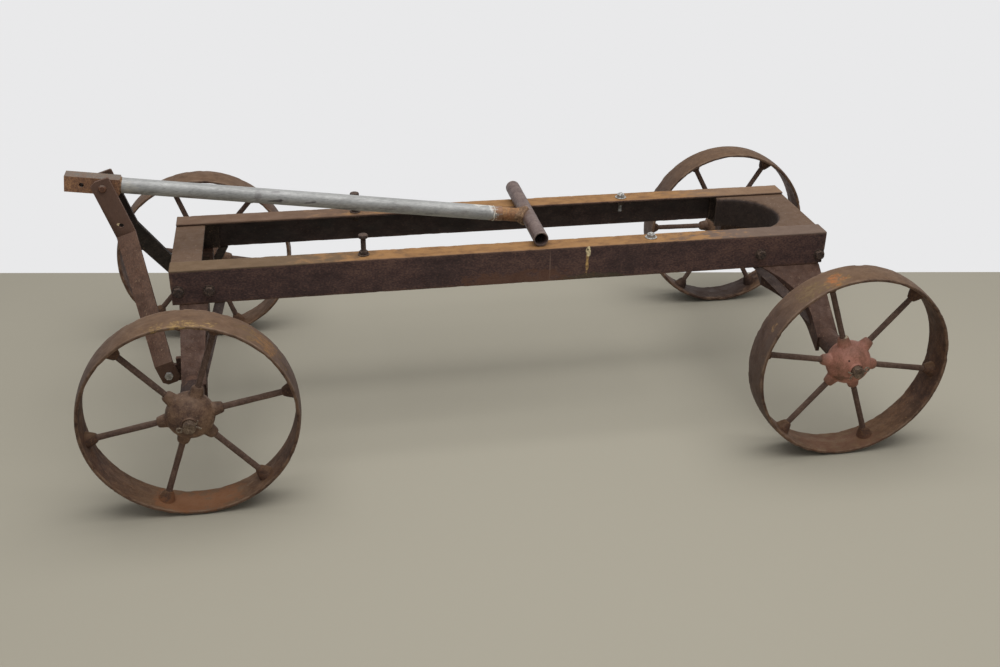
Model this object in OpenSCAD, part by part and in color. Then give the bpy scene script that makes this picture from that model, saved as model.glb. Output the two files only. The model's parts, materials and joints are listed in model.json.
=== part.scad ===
// Rusty iron hand-cart chassis with four spoked wheels and a folding drawbar.
// +X runs from the drawbar end to the rear, +Y to the cart's right, +Z up.
// The floor is z = 0 and the origin is the middle of the cart's footprint.

/* [Wheels] */
// Outside diameter of each wheel
wheel_d = 430; // [380:5:520]
// Width of the iron rim
rim_w = 75; // [62:1:92]
// Thickness of the rim at its edges
rim_edge_t = 7; // [5:0.5:9]
// Thickness of the rim along its middle ridge
rim_mid_t = 12; // [9:0.5:15]
// Rise of the tread from its edges to its middle
tread_crown = 3; // [1:0.5:5]
// Number of spokes in each wheel
spoke_count = 6; // [4:1:8]
// Diameter of each round spoke
spoke_d = 13; // [10:0.5:16]
// Diameter of the boss that holds a spoke at the rim
rim_boss_d = 32; // [24:1:40]
// Height of the boss that holds a spoke at the rim
rim_boss_h = 20; // [14:1:26]
// Diameter of the hub at the spokes
hub_d = 97; // [80:1:116]
// Distance that a hub's spoke boss stands out of the hub
hub_boss_h = 18; // [12:1:24]
// Length of the hub barrel along the axle
hub_len = 75; // [62:1:90]
// Diameter of the axle spindle
axle_d = 25; // [20:1:30]
// Distance between the front and rear axles
wheelbase = 1381; // [1150:1:1700]
// Distance between the outer faces of the left and right rims
track_w = 860; // [720:5:1040]

/* [Frame] */
// Width over the outer faces of the two side rails
frame_w = 307; // [260:1:370]
// Height of the rail tops above the floor
frame_top = 416.5; // [400:0.5:500]
// Height of a side rail
rail_h = 78; // [66:1:94]
// Width of a side rail's top flange
flange_w = 50; // [42:1:60]
// Thickness of the angle iron
rail_t = 6; // [5:0.5:8]
// Distance that the rails run on ahead of the front axle
front_overhang = 35; // [30:1:80]
// Distance that the rails run on behind the rear axle
rear_overhang = 30; // [25:1:80]
// Width of the front crossmember's top plate
front_plate_w = 64; // [54:1:77]
// Length of the front crossmember's side cheeks
front_cheek_l = 90; // [84:1:120]
// Radius of the horseshoe notch in the rear crossmember
notch_r = 97; // [80:1:99]
// Distance from the rail ends to the middle of the notch
notch_back = 159; // [140:1:190]
// Distance that the arms run on past the middle of the notch
arm_l = 12; // [6:1:40]
// Radius of the rolled edge round the notch
roll_r = 10; // [8:1:14]
// Distance from the front axle to the front pair of deck bolt holes
deck_hole_front = 368; // [200:1:500]
// Distance between the front and rear pairs of deck bolt holes
deck_hole_pitch = 637; // [400:1:640]
// Distance of a deck bolt hole from the outer face of its rail
deck_hole_inset = 28.5; // [18:0.5:36]
// Diameter of a deck bolt hole
deck_hole_d = 11; // [8:0.5:14]

/* [Legs] */
// Width of a front leg under the rail
front_leg_w = 59; // [52:1:72]
// Width of a rear leg under the rail
rear_leg_w = 136; // [110:1:145]
// Width of every leg where it meets the axle
leg_tip_w = 49; // [44:1:56]
// Distance from the axle to the straight outer edge of a leg
leg_edge = 21; // [18:0.5:26]
// Thickness of the leg plate
leg_t = 8; // [6:0.5:10]
// Depth of a leg's turned-down sides
leg_depth = 44; // [34:1:52]
// Height of a leg's top face above the axle at its tip
leg_rise = 10.3; // [7:0.1:14]
// Clearance between the tip of a leg and the wheel
leg_wheel_gap = 60; // [50:1:90]
// Width of the flat brace bars
brace_w = 20; // [16:1:26]
// Thickness of the flat brace bars
brace_t = 6; // [5:0.5:8]
// Distance of a front brace's top from the leg
front_brace_out = 24; // [18:1:34]
// Distance of a rear brace's top from the leg
rear_brace_out = 8; // [4:1:10]
// Distance that a brace runs outwards from the rail
brace_run = 85; // [70:1:100]

/* [Yoke] */
// Distance between the yoke's lower and upper pivots
yoke_len = 353.2; // [300:0.1:420]
// Forward lean of the folded yoke from upright, in degrees
yoke_lean = 18.1; // [14:0.1:26]
// Distance from the front axle forward to the lower pivots
yoke_reach = 49.5; // [46:0.5:60]
// Height of the lower pivots above the floor
yoke_pivot_z = 222; // [214:1:236]
// Distance between the lower ends of the two straps, middle to middle
yoke_spread = 472; // [450:1:490]
// Width of a strap at its upper end
strap_top_w = 42; // [34:1:50]
// Width of a strap at its lower end
strap_end_w = 38; // [30:1:40]
// Thickness of a strap
strap_t = 8; // [6:0.5:10]
// Distance along the strap from the upper pivot to the upper bend
strap_bend = 111; // [102:1:130]
// Length of the straight foot above the lower pivot
strap_foot = 26; // [22:1:40]
// Height of a lug's top above the lower pivot, where it meets the leg
lug_rise = 34; // [22:1:38]
// Distance from the upper pivot to the spare pin hole
lock_hole_at = 88; // [60:1:100]
// Diameter of the spare pin holes in the straps and block
lock_hole_d = 10; // [7:0.5:12]
// Diameter of the upper pivot pin
pivot_d = 12; // [10:1:16]
// Diameter of the two lower pivot bolts
yoke_bolt_d = 10; // [8:1:14]

/* [Drawbar] */
// Distance from the upper pivot to the middle of the crossbar
drawbar_len = 919; // [800:1:1000]
// Side of the square pivot block
block_s = 34; // [30:1:38]
// Length of the block ahead of the pivot
block_front = 77; // [60:1:100]
// Length of the block behind the pivot
block_back = 33; // [28:1:50]
// Distance from the pivot to the block's spare pin hole
block_hole_at = 43; // [30:1:55]
// Outside diameter of the drawbar pipe
pipe_d = 33.4; // [26:0.1:36]
// Wall thickness of the drawbar pipe and the crossbar
pipe_wall = 3.4; // [2.5:0.1:4.5]
// Length of the short pipe piece next to the crossbar
stub_len = 46; // [30:1:80]
// Outside diameter of the short pipe piece
stub_d = 31; // [26:0.5:36]
// Length of the crossbar
crossbar_len = 326; // [260:1:420]
// Outside diameter of the crossbar
crossbar_d = 33.4; // [28:0.1:42]
// Sideways offset of the crossbar's middle
crossbar_shift = 23; // [-30:1:30]

/* [Fits] */
// Radial clearance of pins and spindles in their holes
run_gap = 0.05; // [0.02:0.01:0.1]
// Gap between the crossbar and the rails that it rests on
rest_gap = 0.3; // [0.2:0.1:0.5]
// Side clearance between the block and the straps
block_gap = 5; // [4:0.5:8]
// Side clearance of a strap between its lug and its bolt's head
strap_gap = 0.2; // [0.1:0.05:0.4]
// End clearance between a hub and its thrust collar
hub_gap = 0.5; // [0.3:0.1:1]

/* [Hidden] */
$fn = 96;

// Each corner: name, front or rear, side (left is -1), turn of its wheel
CORNERS = [
    ["front_left", true, -1, 11],
    ["front_right", true, 1, 49],
    ["rear_left", false, -1, 50],
    ["rear_right", false, 1, 59]
];

// Wheels
wheel_r = wheel_d / 2;
wheel_in = track_w / 2 - rim_w;
rim_bore_r = wheel_r - rim_mid_t;
rim_seat_r = rim_bore_r - rim_boss_h;
hub_seat_r = hub_d / 2 + hub_boss_h;
hub_nose_l = 5;
hub_nose_d = axle_d + 7;
spindle_out = 13;
collar_l = 4.5;
crown_steps = 12;
dome_steps = 14;

// Frame
web_y = frame_w / 2 - rail_t;
rail_bottom = frame_top - rail_h;
plate_top = frame_top - rail_t;
bolt_y = frame_w / 2 - deck_hole_inset;

// Legs
leg_top_y = frame_w / 2;
leg_foot_y = web_y - 30;
leg_tip_y = wheel_in - leg_wheel_gap;
leg_slope = (rail_bottom - wheel_r - leg_rise) / (leg_tip_y - leg_top_y);
leg_curve = 2.2;
leg_curve_l = 105;
leg_steps = 12;
boss_d = 48;
boss_end = wheel_in - hub_gap - collar_l;

// Yoke and drawbar, as heights and distances ahead of the front axle
lug_t = 10;
lug_r = 19;
lug_root = 12;
strap_top_y = block_s / 2 + block_gap + strap_t / 2;
strap_low_y = yoke_spread / 2;
pivot_ahead = yoke_reach + yoke_len * sin(yoke_lean);
pivot_z = yoke_pivot_z + yoke_len * cos(yoke_lean);
crossbar_z = frame_top + rest_gap + crossbar_d / 2;
drawbar_tilt = asin((pivot_z - crossbar_z) / drawbar_len);
nose_ahead = pivot_ahead + block_front * cos(drawbar_tilt) + block_s / 2 * sin(drawbar_tilt);

// The origin is halfway between the block's nose and the rear wheels
front_x = (nose_ahead - wheelbase - wheel_r) / 2;
rear_x = front_x + wheelbase;
rail_x0 = front_x - front_overhang;
rail_x1 = rear_x + rear_overhang;
notch_x = rail_x1 - notch_back;

rust_brown = [0.33, 0.23, 0.19];
rust_tan = [0.50, 0.37, 0.27];
rust_dark = [0.22, 0.16, 0.15];
galvanised = [0.60, 0.61, 0.62];
bronze_rust = [0.62, 0.42, 0.25];
zinc = [0.75, 0.75, 0.74];

function axle_x(front) = front ? front_x : rear_x;

// Places a piece that is drawn for the left side on the asked side
module on_side(side) {
    mirror([0, side > 0 ? 1 : 0, 0]) children();
}

// Turns a piece drawn round +Z so that +Z points out of the cart
module outwards(side) {
    rotate([side < 0 ? 90 : -90, 0, 0]) children();
}

// ---- Side rails and crossmembers ----

// Angle iron section, with its outer face on the left and its flange inwards
module angle_section() {
    polygon([
        [-frame_w / 2, rail_bottom],
        [-frame_w / 2, frame_top],
        [-frame_w / 2 + flange_w, frame_top],
        [-frame_w / 2 + flange_w, plate_top],
        [-web_y, plate_top],
        [-web_y, rail_bottom]
    ]);
}

// Corner that has rusted away at the bottom of the left rail's rear end
module rusted_corner() {
    translate([rail_x1, -frame_w, rail_bottom])
        rotate([-90, 0, 0])
            linear_extrude(height = frame_w)
                polygon([[1, -rail_h], [0, -12], [-6, -11], [-11, -7], [-12, 1], [1, 1]]);
}

module rail(side) {
    color(rust_brown)
        difference() {
            on_side(side)
                translate([rail_x0, 0, 0])
                    rotate([90, 0, 90])
                        linear_extrude(height = rail_x1 - rail_x0)
                            angle_section();
            for (at = [deck_hole_front, deck_hole_front + deck_hole_pitch])
                translate([front_x + at, side * bolt_y, plate_top - 1])
                    cylinder(d = deck_hole_d, h = rail_t + 2);
            if (side < 0)
                rusted_corner();
        }
}

module front_crossmember() {
    color(rust_brown) {
        // Top plate
        translate([rail_x0, -web_y, plate_top - rail_t])
            cube([front_plate_w, 2 * web_y, rail_t]);
        // Front web
        translate([rail_x0, -web_y, rail_bottom])
            cube([rail_t, 2 * web_y, plate_top - rail_bottom]);
        // Cheeks that bolt to the rails
        for (y = [-web_y, web_y - rail_t])
            translate([rail_x0, y, rail_bottom])
                cube([front_cheek_l, rail_t, plate_top - rail_bottom]);
    }
}

// Section of the rolled edge, with r as the distance from the notch's middle
module rolled_edge_section() {
    wall_top = plate_top - roll_r;
    difference() {
        union() {
            translate([notch_r, rail_bottom])
                square([roll_r, wall_top - rail_bottom]);
            intersection() {
                translate([notch_r + roll_r, wall_top])
                    circle(r = roll_r);
                translate([notch_r, wall_top])
                    square([roll_r, roll_r]);
            }
        }
        translate([notch_r + rail_t, rail_bottom - 1])
            square([roll_r, wall_top - rail_bottom + 1]);
        translate([notch_r + roll_r, wall_top])
            circle(r = roll_r - rail_t);
    }
}

module rear_crossmember() {
    plate_x0 = notch_x - arm_l;
    color(rust_brown) {
        // Top plate, cut back to where the rolled edge starts
        translate([0, 0, plate_top - rail_t])
            linear_extrude(height = rail_t)
                difference() {
                    translate([plate_x0, -web_y])
                        square([rail_x1 - plate_x0, 2 * web_y]);
                    translate([notch_x, 0])
                        circle(r = notch_r + roll_r);
                    translate([plate_x0 - 1, -notch_r - roll_r])
                        square([arm_l + 1, 2 * (notch_r + roll_r)]);
                }
        // Rolled edge round the notch, and on along both arms
        translate([notch_x, 0, 0])
            rotate([0, 0, -90])
                rotate_extrude(angle = 180)
                    rolled_edge_section();
        for (side = [-1, 1])
            on_side(-side)
                translate([notch_x, 0, 0])
                    rotate([90, 0, -90])
                        linear_extrude(height = arm_l)
                            rolled_edge_section();
        // Cheeks that bolt to the rails
        for (y = [-web_y, web_y - rail_t])
            translate([plate_x0, y, rail_bottom])
                cube([rail_x1 - plate_x0, rail_t, plate_top - rail_bottom]);
        // Rear web
        translate([rail_x1 - rail_t, -web_y, rail_bottom])
            cube([rail_t, 2 * web_y, plate_top - rail_bottom]);
    }
}

// ---- Legs, braces and spindles ----

// Distance of the leg's inner edge from the axle, t running from rail to curve's end
function leg_inner(top_w, t) =
    leg_tip_w - leg_edge + (top_w - leg_tip_w) * pow(1 - t, leg_curve);

// Plan of a left leg, with its straight edge towards -X and the walls cut by inset
module leg_plan(top_w, inset) {
    polygon(concat(
        [[inset - leg_edge, -leg_tip_y - 1], [inset - leg_edge, -leg_foot_y + 1]],
        [[leg_inner(top_w, 0) - inset, -leg_foot_y + 1]],
        [for (i = [0:leg_steps])
            [leg_inner(top_w, i / leg_steps) - inset, -leg_top_y - leg_curve_l * i / leg_steps]],
        [[leg_tip_w - leg_edge - inset, -leg_tip_y - 1]]
    ));
}

function leg_top_z(y) = rail_bottom - leg_slope * (y - leg_top_y);

// Side view of a left leg, lowered by drop, as [y, z] points
module leg_profile(drop) {
    tip_z = leg_top_z(leg_tip_y);
    mid_y = leg_tip_y - 40;
    polygon([
        [-leg_foot_y, rail_bottom - drop],
        [-leg_top_y, rail_bottom - drop],
        [-leg_tip_y, tip_z - drop],
        [-leg_tip_y, tip_z - leg_depth + 10],
        [-mid_y, leg_top_z(mid_y) - leg_depth],
        [-leg_top_y, rail_bottom - leg_depth],
        [-leg_foot_y, rail_bottom - leg_depth / 2]
    ]);
}

module leg_solid(top_w, inset, drop) {
    intersection() {
        linear_extrude(height = rail_bottom + 1)
            leg_plan(top_w, inset);
        translate([-rear_leg_w, 0, 0])
            rotate([90, 0, 90])
                linear_extrude(height = 2 * rear_leg_w)
                    leg_profile(drop);
    }
}

module leg(front, side) {
    top_w = front ? front_leg_w : rear_leg_w;
    color(rust_dark)
        on_side(side)
            translate([axle_x(front), 0, 0])
                mirror([front ? 0 : 1, 0, 0])
                    difference() {
                        union() {
                            difference() {
                                leg_solid(top_w, 0, 0);
                                translate([0, 0, -leg_depth / 2])
                                    leg_solid(top_w, leg_t, leg_t - leg_depth / 2);
                                leg_solid(top_w, leg_t, leg_t / cos(atan(leg_slope)));
                            }
                            translate([0, -leg_tip_y + 16, wheel_r])
                                rotate([90, 0, 0])
                                    cylinder(d = boss_d, h = boss_end - leg_tip_y + 16);
                        }
                        translate([0, -leg_tip_y, wheel_r])
                            rotate([90, 0, 0])
                                cylinder(d = axle_d + 2 * run_gap, h = boss_end);
                    }
}

// Flat bar from the frame down to the inner side of a leg, in the leg's own slope
module brace(front, side) {
    top_w = front ? front_leg_w : rear_leg_w;
    leg_side = leg_tip_w - leg_edge;
    reach = top_w - leg_edge + (front ? front_brace_out : rear_brace_out);
    foot_y = leg_top_y + brace_run;
    run = foot_y - web_y;
    across = reach - leg_side;
    fall = rail_bottom - leg_top_z(foot_y) + leg_depth / 2;
    bar_x = brace_w * sqrt(1 + pow(across / run, 2));
    bar_y = brace_t / sin(atan(fall / run));
    color(rust_dark)
        on_side(side)
            translate([axle_x(front), 0, 0])
                mirror([front ? 0 : 1, 0, 0])
                    difference() {
                        intersection() {
                            translate([reach, -web_y, rail_bottom])
                                multmatrix([
                                    [1, 0, across / fall, 0],
                                    [0, 1, run / fall, 0],
                                    [0, 0, 1, 0],
                                    [0, 0, 0, 1]
                                ])
                                    translate([-bar_x / 2, -bar_y / 2, -2 * fall])
                                        cube([bar_x, bar_y, 2 * fall]);
                            translate([leg_side, -2 * foot_y, 0])
                                cube([2 * reach, 2 * foot_y, rail_bottom]);
                        }
                        linear_extrude(height = frame_top)
                            leg_plan(top_w, 0);
                    }
}

module spindle(front, side) {
    color(rust_brown)
        translate([axle_x(front), side * leg_tip_y, wheel_r])
            outwards(side) {
                cylinder(d = axle_d, h = track_w / 2 + hub_nose_l + spindle_out - leg_tip_y);
                translate([0, 0, boss_end - leg_tip_y])
                    cylinder(d = boss_d - 4, h = collar_l);
            }
}

// ---- Wheels, drawn round +Z with z = 0 on the inner face of the rim ----

module at_wheel(front, side, turn) {
    translate([axle_x(front), side * wheel_in, wheel_r])
        outwards(side)
            rotate([0, 0, -side * turn])
                children();
}

module each_spoke() {
    for (i = [0:spoke_count - 1])
        rotate([0, 0, i * 360 / spoke_count])
            translate([0, 0, rim_w / 2])
                rotate([0, 90, 0])
                    children();
}

// Rim with a crowned tread and a ridge round the middle of its inner side
module rim(front, side, turn) {
    edge_r = wheel_r - tread_crown - rim_edge_t;
    color(rust_brown)
        at_wheel(front, side, turn) {
            rotate([0, 0, 180 / spoke_count])
                rotate_extrude($fn = 180)
                    polygon(concat(
                        [for (i = [0:crown_steps])
                            [wheel_r - tread_crown * pow(2 * i / crown_steps - 1, 2),
                                rim_w * i / crown_steps]],
                        [[edge_r, rim_w], [rim_bore_r, rim_w / 2], [edge_r, 0]]
                    ));
            each_spoke()
                translate([0, 0, rim_seat_r])
                    cylinder(d1 = spoke_d + 4, d2 = rim_boss_d, h = rim_boss_h + rim_mid_t / 2);
        }
}

module spokes(front, side, turn) {
    color(rust_dark)
        at_wheel(front, side, turn)
            each_spoke()
                translate([0, 0, hub_seat_r])
                    cylinder(d = spoke_d, h = rim_seat_r - hub_seat_r);
}

// Domed hub with one boss for each spoke and a short nose at its outer end
module hub(front, side, turn) {
    dome_l = hub_len - 8;
    dome_half = hub_len * 0.56;
    color(rust_brown)
        at_wheel(front, side, turn)
            translate([0, 0, (rim_w - hub_len) / 2])
                difference() {
                    union() {
                        rotate_extrude()
                            polygon(concat(
                                [[0, 0], [axle_d / 2 + 12, 0]],
                                [for (i = [0:dome_steps])
                                    let (a = 4 + dome_l * i / dome_steps)
                                    [hub_d / 2 * sqrt(1 - pow((a - hub_len / 2) / dome_half, 2)), a]],
                                [[hub_nose_d / 2 + 2, hub_len], [hub_nose_d / 2, hub_len]],
                                [[hub_nose_d / 2, hub_len + hub_nose_l], [0, hub_len + hub_nose_l]]
                            ));
                        translate([0, 0, (hub_len - rim_w) / 2])
                            each_spoke()
                                translate([0, 0, axle_d])
                                    cylinder(d1 = hub_d * 0.42, d2 = spoke_d + 8, h = hub_seat_r - axle_d);
                    }
                    translate([0, 0, -1])
                        cylinder(d = axle_d + 2 * run_gap, h = hub_len + hub_nose_l + 2);
                }
}

// ---- Yoke ----

// Moves to the lower or upper pivot; local +X then runs from the upper to the lower one
module at_upper_pivot() {
    translate([front_x - pivot_ahead, 0, pivot_z])
        rotate([0, 90 - yoke_lean, 0])
            children();
}

module at_lower_pivot() {
    translate([front_x - yoke_reach, 0, yoke_pivot_z])
        children();
}

// Plate on the front of a leg that carries the strap's lower end
module yoke_lug(side) {
    lug_y = strap_low_y - strap_t / 2 - strap_gap;
    color(rust_dark)
        on_side(side)
            at_lower_pivot()
                difference() {
                    union() {
                        translate([0, -lug_y + lug_t, 0])
                            rotate([90, 0, 0])
                                cylinder(r = lug_r, h = lug_t);
                        translate([0, -lug_y, -lug_r])
                            cube([yoke_reach - leg_edge, lug_t, 2 * lug_r]);
                        translate([yoke_reach - leg_edge - lug_root, -lug_y, 0])
                            cube([lug_root, lug_t, lug_rise]);
                    }
                    translate([0, -lug_y + lug_t + 1, 0])
                        rotate([90, 0, 0])
                            cylinder(d = yoke_bolt_d + 2 * run_gap, h = lug_t + 2);
                }
}

module yoke_bolt(side) {
    head_h = 7;
    nut_h = 8;
    grip = lug_t + strap_t + 2 * strap_gap;
    inner_y = strap_low_y - strap_t / 2 - strap_gap - lug_t;
    color(zinc)
        on_side(side)
            at_lower_pivot()
                translate([0, -inner_y, 0])
                    rotate([90, 0, 0]) {
                        translate([0, 0, -nut_h])
                            cylinder(d = yoke_bolt_d, h = grip + nut_h + head_h);
                        translate([0, 0, -nut_h])
                            cylinder(d = yoke_bolt_d * 1.7, h = nut_h, $fn = 6);
                        translate([0, 0, grip])
                            cylinder(d = yoke_bolt_d * 1.7, h = head_h, $fn = 6);
                    }
}

// Edge view of the left strap: straight, bent outwards, then straight again
module strap_edge_view() {
    rise = strap_low_y - strap_top_y;
    bend_u = yoke_len - strap_foot;
    slant = atan(rise / (bend_u - strap_bend));
    m = [-tan(slant / 2), 1] * strap_t / 2;
    line = [
        [-strap_top_w, strap_top_y],
        [strap_bend, strap_top_y],
        [bend_u, strap_low_y],
        [yoke_len + strap_top_w, strap_low_y]
    ];
    polygon(concat(
        [for (i = [0:3]) line[i] + m],
        [for (i = [3:-1:0]) line[i] - m]
    ));
}

// Face view of a strap, with cut corners at both ends
module strap_face_view() {
    top = strap_top_w / 2;
    low = strap_end_w / 2;
    top_cut = 6;
    low_cut = 9;
    polygon([
        [-18, -top + 2 * top_cut],
        [-18, top - 2],
        [-16, top],
        [strap_bend, top],
        [yoke_len - strap_foot, low],
        [yoke_len + low - low_cut + 2, low],
        [yoke_len + low + 1, low - low_cut],
        [yoke_len + low + 1, low_cut - low],
        [yoke_len + low - low_cut + 2, -low],
        [yoke_len - strap_foot, -low],
        [strap_bend, -top],
        [-18 + top_cut, -top]
    ]);
}

module strap(side) {
    color(rust_brown)
        on_side(-side)
            at_upper_pivot()
                difference() {
                    intersection() {
                        translate([0, 0, -strap_top_w])
                            linear_extrude(height = 2 * strap_top_w)
                                strap_edge_view();
                        translate([0, strap_low_y + strap_t, 0])
                            rotate([90, 0, 0])
                                linear_extrude(height = strap_low_y + strap_t)
                                    strap_face_view();
                    }
                    for (hole = [
                        [0, pivot_d + 2 * run_gap, strap_top_y],
                        [lock_hole_at, lock_hole_d, strap_top_y],
                        [yoke_len, yoke_bolt_d + 2 * run_gap, strap_low_y]
                    ])
                        translate([hole[0], hole[2] + strap_t, 0])
                            rotate([90, 0, 0])
                                cylinder(d = hole[1], h = 2 * strap_t);
                }
}

// Riveted pin through both straps and the block
module pivot_pin() {
    half_l = strap_top_y + strap_t / 2;
    head_h = 5;
    color(rust_brown)
        at_upper_pivot()
            rotate([90, 0, 0]) {
                translate([0, 0, -half_l])
                    cylinder(d = pivot_d, h = 2 * half_l);
                for (m = [0, 1])
                    mirror([0, 0, m])
                        translate([0, 0, half_l])
                            cylinder(d1 = pivot_d * 1.5, d2 = pivot_d, h = head_h);
            }
}

// ---- Drawbar, drawn along +X from the upper pivot ----

module at_drawbar() {
    translate([front_x - pivot_ahead, 0, pivot_z])
        rotate([0, drawbar_tilt, 0])
            children();
}

module pivot_block() {
    color(rust_tan)
        at_drawbar()
            difference() {
                translate([-block_front, -block_s / 2, -block_s / 2])
                    cube([block_front + block_back, block_s, block_s]);
                for (hole = [[0, pivot_d + 2 * run_gap], [-block_hole_at, lock_hole_d]])
                    translate([hole[0], block_s, 0])
                        rotate([90, 0, 0])
                            cylinder(d = hole[1], h = 2 * block_s);
            }
}

stub_x1 = drawbar_len;
stub_x0 = drawbar_len - crossbar_d / 2 - stub_len;

module drawbar_pipe() {
    color(galvanised)
        at_drawbar()
            translate([block_back, 0, 0])
                rotate([0, 90, 0])
                    difference() {
                        cylinder(d = pipe_d, h = stub_x0 - block_back);
                        translate([0, 0, -1])
                            cylinder(d = pipe_d - 2 * pipe_wall, h = stub_x0);
                    }
}

// Short pipe piece, coped to the crossbar
module drawbar_stub() {
    color(bronze_rust)
        at_drawbar()
            difference() {
                translate([stub_x0, 0, 0])
                    rotate([0, 90, 0])
                        difference() {
                            cylinder(d = stub_d, h = stub_x1 - stub_x0);
                            translate([0, 0, -1])
                                cylinder(d = stub_d - 2 * pipe_wall, h = stub_x1 - stub_x0 + 2);
                        }
                translate([drawbar_len, stub_d, 0])
                    rotate([90, 0, 0])
                        cylinder(d = crossbar_d + 2 * run_gap, h = 2 * stub_d);
            }
}

module crossbar() {
    color(rust_dark)
        at_drawbar()
            translate([drawbar_len, crossbar_shift + crossbar_len / 2, 0])
                rotate([90, 0, 0])
                    difference() {
                        cylinder(d = crossbar_d, h = crossbar_len);
                        translate([0, 0, -1])
                            cylinder(d = crossbar_d - 2 * pipe_wall, h = crossbar_len + 2);
                    }
}

// ---- Nodes ----

rail(-1);  // left_rail
rail(1);  // right_rail
front_crossmember();
rear_crossmember();
for (c = CORNERS) {
    leg(c[1], c[2]);
    brace(c[1], c[2]);
    spindle(c[1], c[2]);
    rim(c[1], c[2], c[3]);
    spokes(c[1], c[2], c[3]);
    hub(c[1], c[2], c[3]);
}
yoke_lug(-1);  // left_yoke_lug
yoke_lug(1);  // right_yoke_lug
yoke_bolt(-1);  // left_yoke_bolt
yoke_bolt(1);  // right_yoke_bolt
strap(-1);  // left_strap
strap(1);  // right_strap
pivot_pin();
pivot_block();
drawbar_pipe();
drawbar_stub();
crossbar();
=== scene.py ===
"""Visual model of a rusty iron hand-cart chassis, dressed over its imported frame.

Sizes inside the classes are millimetres in the cart's own frame: +X runs from the
drawbar end to the rear, +Y to the cart's right and +Z up from the floor.
"""
import json
import logging
import math
from dataclasses import dataclass, field, replace
from enum import Enum
from typing import Any

import bmesh
import bpy
import numpy as np
from mathutils import Matrix, Vector


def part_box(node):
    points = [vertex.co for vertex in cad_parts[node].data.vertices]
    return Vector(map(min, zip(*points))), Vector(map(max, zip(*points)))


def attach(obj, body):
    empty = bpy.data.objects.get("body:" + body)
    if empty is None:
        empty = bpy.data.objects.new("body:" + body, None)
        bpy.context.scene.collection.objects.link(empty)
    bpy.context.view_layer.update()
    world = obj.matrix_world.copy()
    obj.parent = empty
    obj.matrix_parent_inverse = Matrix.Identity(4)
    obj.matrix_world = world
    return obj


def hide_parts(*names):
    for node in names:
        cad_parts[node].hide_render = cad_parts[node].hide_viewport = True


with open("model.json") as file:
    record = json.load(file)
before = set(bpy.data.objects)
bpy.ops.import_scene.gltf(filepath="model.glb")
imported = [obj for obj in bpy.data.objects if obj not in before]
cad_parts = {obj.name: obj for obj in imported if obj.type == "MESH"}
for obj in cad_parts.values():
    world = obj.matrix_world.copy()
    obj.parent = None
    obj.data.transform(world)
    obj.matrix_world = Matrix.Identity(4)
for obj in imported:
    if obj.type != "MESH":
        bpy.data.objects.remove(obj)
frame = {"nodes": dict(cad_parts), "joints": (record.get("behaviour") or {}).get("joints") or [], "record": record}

LOG = logging.getLogger("cart")
Array = np.ndarray
MM = 0.001
# Multipliers and masks of the noise's hash: one for each axis, one for the seed, and the
# shift and factor of each round that mixes the bits of a 32-bit word.
AXIS_PRIMES = np.array([73856093, 19349663, 83492791])
SEED_PRIME = 2654435761
ROUNDS = ((15, 2246822519), (13, 3266489917))
WORD = 0xFFFFFFFF
# Past these angles an edge stays sharp: on a grid's surface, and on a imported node's copy.
SHELL_ANGLE = math.radians(42)
PLATE_ANGLE = math.radians(34)
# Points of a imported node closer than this, in metres, are one, and faces that turn by
# less than this angle are one flat.
MERGE_WITHIN = 2e-6
FLAT_ANGLE = math.radians(0.4)
# Points round a rim or hub, which carries fine relief.
FINE_STEPS = 300
# The furthest that three layers of noise can reach: 1 + 1/2 + 1/4.
NOISE_PEAK = 1.75
# Chips are this many pits wide, and deepen between these values of their noise.
CHIP_WIDE = 2.2
CHIP_SPAN = (0.15, 0.8)
CHIP_SEED = 50
JOINTS = {joint["name"]: joint for joint in frame["joints"]}
MOUNTS = {mount["name"]: mount for mount in frame["record"]["mounts"]}
BODY_OF = {
    node: body
    for body, nodes in frame["record"]["behaviour"]["bodies"].items()
    for node in nodes
}
SLOT_OF = {part["node"]: part["material_slot"] for part in frame["record"]["subparts"]}


class Mark(Enum):
    """Named vertex attributes that tell a finish where a surface is worn and where its band goes; on the rails the
    band is painted shade.
    """

    WEAR = "wear"
    BAND = "band"


# Vertex attribute that holds the place where a flowing pattern is read.
FLOW = "flow"


# ---------------------------------------------------------------- numbers


def linear(code: str) -> tuple[float, float, float, float]:
    """Turn an sRGB hex value such as "#8a5a3c" into linear RGBA.

    Args:
        code: The colour, with or without its leading hash.

    Returns:
        Red, green, blue and an alpha of one.
    """
    text = code.lstrip("#")
    srgb = np.array([int(text[i : i + 2], 16) for i in (0, 2, 4)]) / 255
    low = srgb / 12.92
    high = ((srgb + 0.055) / 1.055) ** 2.4
    red, green, blue = np.where(srgb <= 0.04045, low, high)
    return float(red), float(green), float(blue), 1.0


def unit(vector: Any) -> Array:
    """Scale vectors to length one along their last axis."""
    array = np.asarray(vector, float)
    return array / np.linalg.norm(array, axis=-1, keepdims=True)


def step(value: Array, low: float, high: float) -> Array:
    """Rise smoothly from nought at low to one at high."""
    t = np.clip((value - low) / (high - low), 0, 1)
    return t * t * (3 - 2 * t)


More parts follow.
